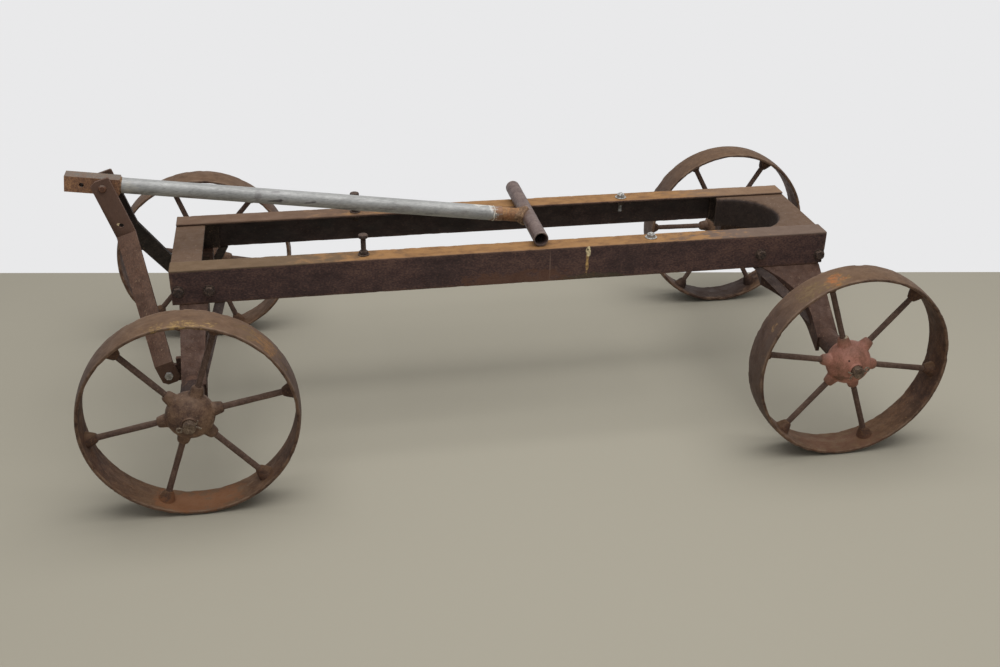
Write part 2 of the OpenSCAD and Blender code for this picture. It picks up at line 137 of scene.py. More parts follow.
def lattice_noise(points: Array, cell: float, seed: int) -> Array:
    """Value noise from -1 to 1.

    Each corner of a cube of the given cell holds a hashed value, and a point takes
    the smooth blend of the eight corners round it.

    Args:
        points: Points in millimetres, with x, y, z on the last axis.
        cell: Side of a cube in millimetres.
        seed: Number that picks one pattern out of many.

    Returns:
        One value for each point.
    """
    scaled = points / cell
    base = np.floor(scaled).astype(np.int64)
    part = scaled - base
    part = part * part * (3 - 2 * part)
    total = np.zeros(points.shape[:-1])
    for corner in range(8):
        offset = np.array([corner & 1, corner >> 1 & 1, corner >> 2 & 1])
        mixed = np.bitwise_xor.reduce((base + offset) * AXIS_PRIMES, axis=-1)
        mixed = (mixed ^ seed * SEED_PRIME) & WORD
        for shift, factor in ROUNDS:
            mixed = (mixed ^ mixed >> shift) * factor & WORD
        share = np.prod(np.where(offset == 1, part, 1 - part), axis=-1)
        total += share * ((mixed ^ mixed >> 16) % 65536 / 32767.5 - 1)
    return total


def layered_noise(points: Array, cell: float, seed: int, layers: int = 3) -> Array:
    """Add layers of value noise, each of half the cell and half the height."""
    parts = [lattice_noise(points, cell / 2**i, seed + i) / 2**i for i in range(layers)]
    return sum(parts)


def rounded_outline(corners: list, radii: list[float], spacing: float) -> Array:
    """Closed outline whose corners are arcs.

    An arc of radius r fits in a corner where it touches both sides, which is
    r / tan(half the corner's angle) away from the corner itself.

    Args:
        corners: Two numbers for each corner, in order round the outline.
        radii: The arc's radius at each corner.
        spacing: Longest step between two points of the outline.

    Returns:
        Points of the outline, as an array of pairs.
    """
    corner = np.array(corners, float)
    back = unit(np.roll(corner, 1, 0) - corner)
    ahead = unit(np.roll(corner, -1, 0) - corner)
    points = []
    for p, u, v, radius in zip(corner, back, ahead, radii):
        half = math.acos(float(np.clip(u @ v, -1, 1))) / 2
        if radius <= 0 or abs(half - math.pi / 2) < 0.01:
            points.append(p[None])
            continue
        centre = p + unit(u + v) * radius / math.sin(half)
        first, last = (p + w * radius / math.tan(half) - centre for w in (u, v))
        count = max(4, int(radius * (math.pi - 2 * half) / spacing) + 2)
        t = np.linspace(0, 1, count)[:, None]
        points.append(centre + unit(first * (1 - t) + last * t) * radius)
    line = np.concatenate(points)
    onward = np.roll(line, -1, 0)
    gaps = np.linalg.norm(onward - line, axis=1)
    pieces = np.maximum(1, np.ceil(gaps / spacing).astype(int))
    where = np.repeat(np.arange(len(line)), pieces)
    along = np.concatenate([np.arange(n) / n for n in pieces])[:, None]
    return line[where] * (1 - along) + onward[where] * along


# ---------------------------------------------------------------- surfaces


@dataclass
class Shell:
    """A grid of points in millimetres: rows run along a piece, columns round it."""

    points: Array
    ring: bool = False
    marks: dict[Mark, Array] = field(default_factory=dict)
    flow: Array | None = None

    def faces(self) -> list[list[int]]:
        """Corner numbers of every face, turned so that the faces look outwards.

        Four neighbours on the grid make a face. The first and last rows are closed
        by a face each, unless the rows run in a ring. The sum of each face's share
        of the volume is negative where the shell is inside out.

        Returns:
            A list of corner numbers for each face.
        """
        rows, cols = self.points.shape[:2]
        index = np.arange(rows * cols).reshape(rows, cols)
        near, side = index, np.roll(index, -1, 1)
        far, far_side = np.roll(near, -1, 0), np.roll(side, -1, 0)
        cut = slice(None) if self.ring else slice(None, -1)
        quads = np.stack([near[cut], side[cut], far_side[cut], far[cut]], -1)
        quads = quads.reshape(-1, 4)
        flat = self.points.reshape(-1, 3) - self.points.reshape(-1, 3).mean(0)
        a, b, c, d = (flat[quads[:, i]] for i in range(4))
        volume = np.einsum("ij,ij->", np.cross(a, b), c)
        volume += np.einsum("ij,ij->", np.cross(a, c), d)
        ends = []
        if not self.ring:
            ends = [index[0, ::-1], index[-1]]
            for end in ends:
                fan = flat[end]
                volume += np.einsum(
                    "ij,ij->", np.cross(fan[1:-1], fan[2:]), fan[:1].repeat(len(fan) - 2, 0)
                )
        if volume < 0:
            quads, ends = quads[:, ::-1], [end[::-1] for end in ends]
        return quads.tolist() + [end.tolist() for end in ends]


@dataclass(frozen=True)
class Relief:
    """How far rust has eaten into a surface: pits everywhere, chips on worn edges."""

    pit: float = 0.3
    cell: float = 7.0
    chip: float = 0.0
    seed: int = 1

    def depth(self, points: Array, wear: Array) -> Array:
        """Depth below the fresh surface, in millimetres.

        Pits are layered noise, scaled and lifted to run from nought to one. A chip
        is the part of a coarser noise above a limit, times the wear of the place.

        Args:
            points: Points of the surface.
            wear: Wear at each point, from nought to one.

        Returns:
            Depth at each point.
        """
        pitted = layered_noise(points, self.cell, self.seed) / (2 * NOISE_PEAK) + 0.5
        wide, seed = self.cell * CHIP_WIDE, self.seed + CHIP_SEED
        chipped = step(layered_noise(points, wide, seed, layers=2), *CHIP_SPAN)
        return np.clip(pitted * self.pit, 0, None) + chipped * wear * self.chip


class Skin:
    """Shells that together are one piece of the cart."""

    def __init__(self) -> None:
        """Start with no shells."""
        self.shells: list[Shell] = []

    def add(self, *shells: Shell) -> "Skin":
        """Take in more shells and return this skin."""
        self.shells.extend(shells)
        return self

    def build(self, name: str, relief: Relief | None = None) -> bpy.types.Object:
        """Make the Blender object, with its place in its mesh.

        Args:
            name: Name of the object.
            relief: Pits and chips to sink into the surface, if any.

        Returns:
            The new object, at the origin.
        """
        faces, first = [], 0
        for shell in self.shells:
            faces += [[n + first for n in face] for face in shell.faces()]
            first += shell.points[..., 0].size
        points = np.concatenate([s.points.reshape(-1, 3) for s in self.shells])
        mesh = bpy.data.meshes.new(name)
        mesh.from_pydata((points * MM).tolist(), [], faces)
        mesh.update()
        values = {}
        for mark in Mark:
            values[mark] = np.concatenate(
                [
                    np.broadcast_to(s.marks.get(mark, 0.0), s.points.shape[:2]).ravel()
                    for s in self.shells
                ]
            ).astype(np.float32)
            layer = mesh.attributes.new(mark.value, "FLOAT", "POINT")
            layer.data.foreach_set("value", values[mark])
        flow = [s.points if s.flow is None else s.flow for s in self.shells]
        flow = np.concatenate([f.reshape(-1, 3) for f in flow]) * MM
        layer = mesh.attributes.new(FLOW, "FLOAT_VECTOR", "POINT")
        layer.data.foreach_set("vector", flow.astype(np.float32).ravel())
        if relief is not None:
            normals = np.zeros(len(points) * 3, np.float32)
            mesh.vertex_normals.foreach_get("vector", normals)
            depth = relief.depth(points, values[Mark.WEAR])
            points = points - normals.reshape(-1, 3) * depth[:, None]
            mesh.vertices.foreach_set("co", (points * MM).astype(np.float32).ravel())
            mesh.update()
        mesh.shade_smooth()
        mesh.set_sharp_from_angle(angle=SHELL_ANGLE)
        piece = bpy.data.objects.new(name, mesh)
        bpy.context.scene.collection.objects.link(piece)
        return piece


def turned(
    profile: Any, origin: Any, axis: Any, steps: int, ring: bool = False
) -> Shell:
    """Turn a profile round an axis, as on a lathe.

    A point is origin + axis * height + (u cos a + v sin a) * radius, where u and v
    are square to the axis and a runs once round.

    Args:
        profile: Pairs of radius and height along the axis.
        origin: Point that heights are counted from.
        axis: Direction of the axis.
        steps: Number of points round the axis.
        ring: Whether the profile closes on itself, as that of a tube does.

    Returns:
        The turned shell.
    """
    line = np.array(profile, float)
    w = unit(axis)
    u = unit(np.cross(w, (0.31, 0.2, 1) if abs(w[2]) < 0.9 else (1, 0, 0)))
    v = np.cross(w, u)
    a = np.linspace(0, 2 * math.pi, steps, endpoint=False)
    spin = np.cos(a)[:, None] * u + np.sin(a)[:, None] * v
    radius, height = line[:, 0, None, None], line[:, 1, None, None]
    return Shell(np.asarray(origin, float) + w * height + spin * radius, ring)


def swept(path: Any, radius: Any, steps: int, ring: bool = False) -> Shell:
    """Carry a circle along a path.

    The circle at a point lies square to the path's direction there. Its first axis
    is the part of a fixed helper direction that is square to the path.

    Args:
        path: Points of the path.
        radius: One radius, or one for each point of the path.
        steps: Number of points round the circle.
        ring: Whether the path closes on itself.

    Returns:
        The tube's shell.
    """
    line = np.array(path, float)
    if ring:
        along = unit(np.roll(line, -1, 0) - np.roll(line, 1, 0))
    else:
        along = unit(np.gradient(line, axis=0))
    spread = np.linalg.svd(line - line.mean(0), full_matrices=False)[2][-1]
    u = unit(spread - along * (along @ spread)[:, None] + along[:, [1, 2, 0]] * 1e-6)
    v = np.cross(along, u)
    a = np.linspace(0, 2 * math.pi, steps, endpoint=False)
    size = np.broadcast_to(radius, (len(line),))[:, None, None]
    circle = np.cos(a)[None, :, None] * u[:, None] + np.sin(a)[None, :, None] * v[:, None]
    return Shell(line[:, None] + circle * size, ring)


# Section of a bolt head's cone: share of its height, and of half its width across flats.
HEAD_CONE = np.array(
    [(0, 1.12), (0.25, 1.2), (0.6, 1.2), (0.8, 1.17), (0.9, 1.08), (1.0, 0.97), (1.0, 0.7)]
)
HEAD_STEPS = 72


def six_sided(origin: Any, axis: Any, across: float, height: float, turn: float) -> Shell:
    """A bolt head or nut: a hexagon whose outer corners are cut by a cone.

    At angle a the hexagon's radius is half the width across flats over the cosine
    of the angle from the nearest flat's middle. Near the ends, a cone's radius
    takes over wherever it is the smaller.

    Args:
        origin: Middle of the lower face.
        axis: Direction from the lower face to the upper one.
        across: Width across flats.
        height: Distance between the faces.
        turn: Angle of the hexagon in degrees.

    Returns:
        The head's shell.
    """
    a = np.linspace(0, 2 * math.pi, HEAD_STEPS, endpoint=False) + math.radians(turn)
    flat = across / 2 / np.cos((a + math.pi / 6) % (math.pi / 3) - math.pi / 6)
    rise, cone = HEAD_CONE[:, 0] * height, HEAD_CONE[:, 1] * across / 2
    radius = np.minimum(flat[None], cone[:, None])
    lift = unit(axis) * rise[:, None, None]
    base = turned(np.stack([np.ones(len(rise)), rise], 1), (0, 0, 0), axis, HEAD_STEPS)
    spin = base.points - lift
    return Shell(np.asarray(origin, float) + lift + spin * radius[..., None])


def worn_copy(node: str, edge: float, name: str) -> bpy.types.Object:
    """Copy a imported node, merge its triangles and round its edges.

    Args:
        node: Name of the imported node.
        edge: Width of the rounding in millimetres.
        name: Name of the copy.

    Returns:
        The copy. Faces of the rounded edges use its second material.
    """
    mesh = frame["nodes"][node].data.copy()
    mesh.name = name
    work = bmesh.new()
    work.from_mesh(mesh)
    bmesh.ops.remove_doubles(work, verts=work.verts, dist=MERGE_WITHIN)
    flats = {"angle_limit": FLAT_ANGLE, "verts": work.verts, "edges": work.edges}
    bmesh.ops.dissolve_limit(work, **flats)
    work.to_mesh(mesh)
    work.free()
    mesh.shade_smooth()
    mesh.set_sharp_from_angle(angle=PLATE_ANGLE)
    piece = bpy.data.objects.new(name, mesh)
    bpy.context.scene.collection.objects.link(piece)
    bevel = piece.modifiers.new("rounded_edges", "BEVEL")
    bevel.width = edge * MM
    bevel.segments = 2
    bevel.limit_method = "ANGLE"
    bevel.angle_limit = PLATE_ANGLE
    bevel.harden_normals = True
    bevel.material = 1
    return piece


# ---------------------------------------------------------------- finishes


def new_material(name: str) -> tuple[bpy.types.Material, Any]:
    """Make a material without any nodes.

    Args:
        name: Name of the material.

    Returns:
        The material and its empty node tree.
    """
    material = bpy.data.materials.new(name)
    material.use_nodes = True
    material.node_tree.nodes.clear()
    return material, material.node_tree


def add_node(tree: Any, kind: str, inputs: dict[Any, Any], **settings: Any) -> Any:
    """Add a node with its settings, values and links.

    Args:
        tree: The material's or world's node tree.
        kind: Blender's type name of the node, without its leading "ShaderNode".
        inputs: Value, or socket to link from, for each input's name or number.
        settings: Properties of the node; stops holds a colour ramp's stops.

    Returns:
        The new node.
    """
    node = tree.nodes.new("ShaderNode" + kind)
    stops = settings.pop("stops", ())
    for name, value in settings.items():
        setattr(node, name, value)
    if stops:
        ramp = node.color_ramp.elements
        while len(ramp) < len(stops):
            ramp.new(1.0)
        for stop, (place, colour) in zip(ramp, stops):
            stop.position, stop.color = place, colour
    for name, value in inputs.items():
        if isinstance(value, bpy.types.NodeSocket):
            tree.links.new(value, node.inputs[name])
        else:
            node.inputs[name].default_value = value
    return node


# Detail and roughness of a finish's noises: blotches, mottles, grit and speckles. Speckles
# are this much wider than grit.
NOISES = ((5.0, 0.62), (5.0, 0.68), (3.0, 0.6), (4.0, 0.7))
SPECKLE_WIDE = 1.8
# What the two coarser noises add to a shade, and how far mottles stand above grit.
BLOTCH_SHARE, MOTTLE_SHARE, MOTTLE_RISE = 0.6, 0.45, 2.5
# Places of a finish's four shades between its deepest pits and its high spots. The
# summed noises spread this far about their middle, and further with the grit's share.
SHADE_STOPS = (0.1, 0.42, 0.6, 0.9)
SHADE_REACH, GRIT_REACH = 0.15, 0.155
# Values of the mottle noise between which a surface goes from rough to smooth, and those
# between which a coat goes from its least share to its fullest, which is past one.
ROUGH_SPAN = (0.3, 0.7)
PATCH_SPAN = (0.36, 0.6)
PATCH_FULL = 1.15
# A stain ends between these distances, in its own reach. A ragged edge is pushed about by
# this many reaches, and holes open between these values of the speckle noise.
STAIN_END = (1.05, 0.7)
STAIN_PUSH = 3.0
HOLE_SPAN = (0.44, 0.58)


@dataclass(frozen=True)
class Stain:
    """A local stain, bare spot or scratch with a ragged edge; sizes in millimetres."""

    centre: tuple[float, float, float]
    reach: tuple[float, float, float]
    colour: str
    strength: float = 0.9
    ragged: float = 0.5
    broken: float = 0.0


@dataclass(frozen=True)
class Finish:
    """A weathered metal surface, built from patterns of real size.

    Shades run from the deepest pits to the high spots. Dust is what lies on faces
    that look up, and edge is what shows where rust has been rubbed off.
    """

    name: str
    shades: tuple[str, str, str, str]
    dust: str = "#a07a58"
    dust_on: float = 0.0
    edge: str = "#8a7160"
    edge_on: float = 0.5
    speck: str = "#b89c7c"
    speck_on: float = 0.35
    blotch_mm: float = 70.0
    mottle_mm: float = 16.0
    grit_mm: float = 3.2
    fine: float = 0.8
    grain: tuple[float, float, float] = (1.0, 1.0, 1.0)
    rough: tuple[float, float] = (0.6, 0.92)
    bump_mm: float = 0.45
    metallic: float = 0.0
    band: str = ""
    flowing: bool = False
    stains: tuple[Stain, ...] = ()

    def make(self) -> bpy.types.Material:
        """Build the finish as a material.

        Three noises of falling size are added and read off as a shade. Over that
        go dust where a face looks up, specks, rubbed edges and the local stains.

        Returns:
            The material.
        """
        material, tree = new_material(self.name)
        coords = add_node(tree, "TexCoord", {})
        stretch = tuple(1 / g for g in self.grain)
        where = coords.outputs["Object"]
        if self.flowing:
            flow = add_node(tree, "Attribute", {}, attribute_name=FLOW)
            where = flow.outputs["Vector"]
        place = add_node(tree, "Mapping", {0: where, "Scale": stretch}).outputs[0]
        sizes = (self.blotch_mm, self.mottle_mm, self.grit_mm, self.grit_mm * SPECKLE_WIDE)
        noises = []
        for size, (detail, roughness) in zip(sizes, NOISES):
            inputs = {0: place, "Scale": 1000 / size, "Detail": detail, "Roughness": roughness}
            noises.append(add_node(tree, "TexNoise", inputs).outputs[0])
        _, mottle, grit, _ = noises
        shares = (BLOTCH_SHARE, MOTTLE_SHARE, self.fine)
        total = 0.0
        for noise, share in zip(noises, shares):
            inputs = {0: noise, 1: share, 2: total}
            total = add_node(tree, "Math", inputs, operation="MULTIPLY_ADD").outputs[0]
        middle, reach = sum(shares) / 2, SHADE_REACH + GRIT_REACH * self.fine
        inputs = {0: total, 1: middle - reach, 2: middle + reach}
        spread = add_node(tree, "MapRange", inputs).outputs[0]
        stops = list(zip(SHADE_STOPS, map(linear, self.shades)))
        colour = add_node(tree, "ValToRGB", {0: spread}, stops=stops).outputs[0]
        colour = self._coated(tree, coords, colour, noises)
        for stain in self.stains:
            colour = self._stained(tree, coords, colour, stain, noises)
        smooth, coarse = self.rough
        inputs = {0: mottle, 1: ROUGH_SPAN[0], 2: ROUGH_SPAN[1], 3: coarse, 4: smooth}
        rough = add_node(tree, "MapRange", inputs).outputs[0]
        inputs = {0: mottle, 1: MOTTLE_RISE, 2: grit}
        height = add_node(tree, "Math", inputs, operation="MULTIPLY_ADD").outputs[0]
        inputs = {"Height": height, "Strength": 1.0, "Distance": self.bump_mm * MM}
        bump = add_node(tree, "Bump", inputs).outputs[0]
        inputs = {"Base Color": colour, "Roughness": rough, "Normal": bump}
        shader = add_node(tree, "BsdfPrincipled", {**inputs, "Metallic": self.metallic})
        add_node(tree, "OutputMaterial", {0: shader.outputs[0]})
        return material

    def _coated(self, tree: Any, coords: Any, colour: Any, noises: list) -> Any:
        """Lay the band's colour, dust, specks and rubbed edges over the rust.

        Each coat's mask rises from nought to the coat's strength as its source runs
        from low to high. A coarser noise then thins it, down to the least share.

        Args:
            tree: The material's node tree.
            coords: Its Texture Coordinate node.
            colour: Socket with the colour so far.
            noises: Sockets of the blotch, mottle, grit and speckle noises.

        Returns:
            Socket with the new colour.
        """
        blotch, mottle, _, speckle = noises
        up = add_node(tree, "SeparateXYZ", {0: coords.outputs["Normal"]}).outputs[2]
        wear = add_node(tree, "Attribute", {}, attribute_name=Mark.WEAR.value)
        coats = [
            (self.dust, up, 0.45, 0.97, self.dust_on, mottle, 0.62),
            (self.speck, speckle, 0.62, 0.68, self.speck_on, None, 0.0),
            (self.edge, wear.outputs["Fac"], 0.15, 0.9, self.edge_on, mottle, 0.0),
        ]
        if self.band:
            band = add_node(tree, "Attribute", {}, attribute_name=Mark.BAND.value)
            coats.insert(0, (self.band, band.outputs["Fac"], 0.3, 0.9, 0.85, blotch, 0.35))
        for coat, source, low, high, amount, breaker, least in coats:
            inputs = {0: source, 1: low, 2: high, 3: 0.0, 4: amount}
            mask = add_node(tree, "MapRange", inputs).outputs[0]
            if breaker is not None:
                inputs = dict(enumerate((breaker, *PATCH_SPAN, least, PATCH_FULL)))
                patchy = add_node(tree, "MapRange", inputs).outputs[0]
                thinned = {"operation": "MULTIPLY", "use_clamp": True}
                mask = add_node(tree, "Math", {0: mask, 1: patchy}, **thinned).outputs[0]
            inputs = {0: mask, 6: colour, 7: linear(coat)}
            colour = add_node(tree, "Mix", inputs, data_type="RGBA").outputs[2]
        return colour

    def _stained(
        self, tree: Any, coords: Any, colour: Any, stain: Stain, noises: list
    ) -> Any:
        """Lay one stain over the colour.

        The distance from its centre, counted in its own reach along each axis and
        pushed about by the mottle noise, fades the stain out between 0.7 and 1.05.
        The speckle noise then eats holes in it.

        Args:
            tree: The material's node tree.
            coords: Its Texture Coordinate node.
            colour: Socket with the colour so far.
            stain: The stain.
            noises: Sockets of the blotch, mottle, grit and speckle noises.

        Returns:
            Socket with the new colour.
        """
        _, mottle, _, speckle = noises
        away = coords.outputs["Object"]
        for operation, values in (
            ("SUBTRACT", tuple(c * MM for c in stain.centre)),
            ("MULTIPLY", tuple(1 / (r * MM) for r in stain.reach)),
        ):
            inputs = {0: away, 1: values}
            away = add_node(tree, "VectorMath", inputs, operation=operation).outputs[0]
        length = add_node(tree, "VectorMath", {0: away}, operation="LENGTH")
        inputs = {0: mottle, 1: stain.ragged * STAIN_PUSH, 2: length.outputs["Value"]}
        torn = add_node(tree, "Math", inputs, operation="MULTIPLY_ADD").outputs[0]
        gone, full = (end + stain.ragged * STAIN_PUSH / 2 for end in STAIN_END)
        inputs = {0: torn, 1: gone, 2: full, 3: 0.0, 4: stain.strength}
        mask = add_node(tree, "MapRange", inputs).outputs[0]
        if stain.broken:
            inputs = dict(enumerate((speckle, *HOLE_SPAN, 1 - stain.broken)))
            kept = add_node(tree, "MapRange", inputs).outputs[0]
            inputs = {0: mask, 1: kept}
            mask = add_node(tree, "Math", inputs, operation="MULTIPLY").outputs[0]
        inputs = {0: mask, 6: colour, 7: linear(stain.colour)}
        return add_node(tree, "Mix", inputs, data_type="RGBA").outputs[2]


# Hot-rolled angle iron under a thin even coat of old rust: dull, purple-brown on its
# sides, tan where loads have slid along its tops, with dark pits a few millimetres wide.
RAIL_RUST = Finish(
    name="rusted_hot_rolled_angle_iron",
    shades=("#2f2120", "#432f2d", "#533b36", "#6b4e42"),
    dust="#9a7041",
    dust_on=0.95,
    edge="#7a5c45",
    speck="#8a6c55",
    speck_on=0.2,
    blotch_mm=110,
    mottle_mm=22,
    grain=(1.6, 1.0, 1.0),
    # The band colour is painted shade on the inner faces that sit under the top flange.
    band="#2a2120",
)
# Pressed plate with the same rust, duller because it lies level and stays dusty. Its dark rust
# is deepened to near black as painted shade on its sides, and its notch is painted nearly black as shade.
PLATE_RUST_AND_SHADE = Finish(
    name="rusted_pressed_steel_plate",
    shades=("#1b120f", "#2c201a", "#3a2a22", "#4b382c"),
    dust="#624a37",
    dust_on=1.4,
    edge="#86705e",
    stains=(
        # Painted shade on the wall and rim inside the rear crossmember's notch.
        Stain((630, 0, 366), (150, 200, 44), "#20120d", 0.72, 0.1, 0.15),
        Stain((630, 0, 392), (150, 200, 21), "#20120d", 0.4, 0.1),
    ),
)
# Forged iron legs: dark, close rust that has polished a little on its corners, with
# painted shade in the hollow at the foot of one leg.
LEG_RUST_AND_SHADE = Finish(
    name="rusted_forged_iron",
    shades=("#301e16", "#39241c", "#442c20", "#503527"),
    dust="#624433",
    dust_on=0.55,
    edge="#816753",
    speck_on=0.25,
    # Painted shade in the hollow at the foot of the near front leg.
    stains=(Stain((-683, -330, 258), (34, 40, 44), "#2a1e1d", 0.7, 0.8),),
)
# Flat bars behind the legs: the same rust, deepened nearly black as painted shade where they sit behind the legs.
BRACE_RUST_IN_SHADE = replace(
    LEG_RUST_AND_SHADE,
    name="dark_rusted_flat_bar",
    shades=("#1d1311", "#281c18", "#33241e", "#423026"),
    dust="#45332a",
)
# Flat bar of the yoke: redder rust, drier towards its feet.
STRAP_RUST = Finish(
    name="rusted_flat_bar",
    shades=("#442f24", "#50372b", "#5b3f30", "#684a39"),
    dust="#755a45",
    dust_on=0.4,
    edge="#9a7d68",
    grain=(1.0, 1.0, 2.2),
)
# The near strap has painted light making it paler at its top and its foot, and a painted glint at the edge of its
# pin hole.
NEAR_STRAP_RUST_AND_LIGHT = replace(
    STRAP_RUST,
    name="rusted_flat_bar_near",
    stains=(
        # Painted light on the upper strap and on its foot, which the lamp lights less.
        Stain((-824, -30, 520), (90, 60, 84), "#694f43", 0.75, 0.25),
        Stain((-728, -236, 226), (60, 60, 44), "#5c4334", 0.6, 0.3),
        # Painted glint on the edge of the pin hole.
        Stain((-816, -30, 477), (4, 4, 3), "#e0c9a0", 0.9, 0.4),
    ),
)
# The far strap is painted nearly black as shade on its inner side, which faces away from the lamp, and is lighter
# at its top.
FAR_STRAP_RUST_IN_SHADE = replace(
    STRAP_RUST,
    name="oily_rusted_flat_bar",
    shades=("#1c1411", "#241a16", "#2c201b", "#3a2a22"),
    dust="#4a382d",
    stains=(Stain((-838, 30, 568), (60, 60, 36), "#5b4334", 0.8, 0.4),),
)
# Square bar of the drawbar's block: orange rust showing through brown, pale on top.
BLOCK_RUST = Finish(
    name="orange_rusted_square_bar",
    shades=("#694937", "#835f49", "#9a7050", "#b58963"),
    dust="#6e645b",
    dust_on=0.9,
    edge="#caa57c",
    edge_on=0.7,
)
# Rivet of the pivot: the block's rust, darkened by hands and grease.
RIVET_RUST = replace(
    BLOCK_RUST,
    name="dark_rusted_rivet",
    shades=("#4f3326", "#5f3f2f", "#6f4b38", "#835c45"),
)
# Cast-iron rims: rough sandy skin, greyer on the tread, with tan rubbed edges. Its pattern
# is drawn out round the rim, as the ground drags along it.
RIM_RUST = Finish(
    name="rusted_cast_iron_rim",
    shades=("#3a2519", "#472f22", "#563927", "#68472e"),
    dust="#735537",
    dust_on=0.6,
    edge="#997d65",
    edge_on=0.42,
    band="#524138",
    speck="#c89c6c",
    speck_on=0.18,
    blotch_mm=40,
    flowing=True,
    fine=0.55,
)
# Round spokes: thin dark rust without scale.
SPOKE_RUST = Finish(
    name="rusted_round_bar",
    shades=("#4d3a32", "#59443a", "#634c41", "#72594b"),
    dust="#705a48",
    dust_on=0.5,
    blotch_mm=45,
    mottle_mm=10,
)
# Hubs: the same casting as the rims, smoothed by old grease.
HUB_RUST = Finish(
    name="greasy_rusted_cast_iron",
    shades=("#422e26", "#624838", "#765a45", "#8a6c54"),
    dust="#856a55",
    dust_on=0.4,
    edge="#6e5443",
    rough=(0.5, 0.8),
    blotch_mm=40,
    fine=0.35,
    bump_mm=0.25,
)
# One hub keeps a chalky coat of red lead primer, thin enough that rust shows through,
# with its oil hole painted as a dark spot of shade, a smear of cream paint and rust below them.
HUB_PRIMER_AND_SHADE = Finish(
    name="faded_red_lead_primer",
    shades=("#7c5544", "#996855", "#ac7563", "#b9816f"),
    dust="#a8786a",
    dust_on=0.35,
    edge="#765643",
    edge_on=0.85,
    speck="#8a6c45",
    rough=(0.5, 0.8),
    blotch_mm=38,
    fine=0.3,
    bump_mm=0.2,
    speck_on=0.2,
    stains=(
        # Painted shade standing for the oil hole, which is not cut into the hub.
        Stain((685, -430, 236), (3.2, 8, 3.2), "#2e1c14", 0.95, 0.2),
        Stain((681, -394, 278), (10, 12, 2.4), "#cfc3a5", 0.85, 0.5),
        Stain((672, -425, 192), (26, 14, 10), "#5d4330", 0.7, 1.4),
    ),
)
# Turned spindle ends and collars: steel dulled by grease and dust, dark near the legs.
SPINDLE_STEEL = Finish(
    name="greasy_turned_steel",
    shades=("#3f3027", "#5c493a", "#725f4c", "#8c7864"),
    metallic=0.1,
    rough=(0.42, 0.7),
    blotch_mm=20,
    mottle_mm=7,
    band="#2a1e19",
)
# Split pins: drawn wire, rubbed bright where it was bent and rusty in between.
PIN_STEEL = Finish(
    name="rubbed_steel_wire",
    shades=("#4d3b2d", "#6e5d4d", "#897964", "#a39a8a"),
    metallic=0.1,
    rough=(0.3, 0.5),
    blotch_mm=9,
    mottle_mm=3,
    grit_mm=1.5,
    bump_mm=0.05,
)
# Hot-dip galvanised pipe: pale grey zinc gone matt, with dark scuffs along it.
GALVANISED = Finish(
    name="weathered_galvanised_pipe",
    shades=("#898988", "#9b9b99", "#a5a5a3", "#b3b3b0"),
    dust="#a5a5a2",
    dust_on=0.3,
    edge="#dddcd6",
    speck="#747270",
    speck_on=0.55,
    metallic=0.25,
    rough=(0.4, 0.6),
    bump_mm=0.15,
    blotch_mm=60,
    mottle_mm=13,
    grain=(3.0, 1.0, 1.0),
    fine=0.75,
)
# Fresh bright rust where heat from welding burnt the zinc off.
BRONZE_RUST = Finish(
    name="fresh_orange_rust",
    shades=("#5a3c23", "#845737", "#996841", "#b0875a"),
    dust="#b18858",
    dust_on=0.4,
    edge="#d8c39c",
    speck="#e6dcc6",
    blotch_mm=30,
    mottle_mm=9,
    speck_on=0.12,
)
# Black steel tube worn by hands: mauve-grey brown and smoother than the rest.
CROSSBAR_STEEL = Finish(
    name="hand_worn_black_steel_tube",
    shades=("#3a2c29", "#5a4845", "#695751", "#7d6a62"),
    dust="#847168",
    dust_on=0.35,
    edge="#8e7f75",
    speck="#6b4f40",
    metallic=0.15,
    rough=(0.42, 0.68),
    blotch_mm=55,
    bump_mm=0.25,
)
# Zinc-plated bolts: bright plating, pale grey with a soft shine and white bloom.
ZINC_STEEL = Finish(
    name="bright_zinc_plated_steel",
    shades=("#75726c", "#a19f9a", "#bdbbb6", "#d8d7d2"),
    dust="#c9c8c2",
    edge="#d6d5d0",
    speck="#7b6a58",
    metallic=0.6,
    rough=(0.28, 0.5),
    bump_mm=0.08,
    blotch_mm=12,
    mottle_mm=5,
    grit_mm=2,
)
# Old iron bolts: nearly black, with a rubbed tan crown.
BOLT_RUST = Finish(
    name="rusted_iron_bolts",
    shades=("#241b19", "#392c27", "#4a3a32", "#64503f"),
    dust="#755d4b",
    dust_on=0.2,
    blotch_mm=18,
    mottle_mm=6,
    grit_mm=2.5,
)
# Weld metal: lumpy, grey-brown, with pale slag in its hollows.
WELD_METAL = Finish(
    name="rusty_weld_bead",
    shades=("#513d2c", "#725741", "#8a6b4e", "#a98865"),
    speck="#b79a70",
    blotch_mm=14,
    mottle_mm=5,
    grit_mm=2.2,
)
# Bare white zinc oxide, left as a crust where the galvanising was heated.
ZINC_BLOOM = Finish(
    name="white_zinc_oxide_crust",
    shades=("#b7ab94", "#d9d0be", "#ece6da", "#f7f3ea"),
    speck="#a08a66",
    blotch_mm=14,
    mottle_mm=5,
    grit_mm=2,
)


# ---------------------------------------------------------------- the cart


class Side(Enum):
    """Left is the near side, towards -Y."""

    LEFT = -1
    RIGHT = 1

    @property
    def word(self) -> str:
        """The side's word in node names."""
        return self.name.lower()


def box_mm(node: str) -> tuple[Array, Array]:
    """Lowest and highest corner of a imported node, in millimetres."""
    low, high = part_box(node)
    return np.array(low) / MM, np.array(high) / MM


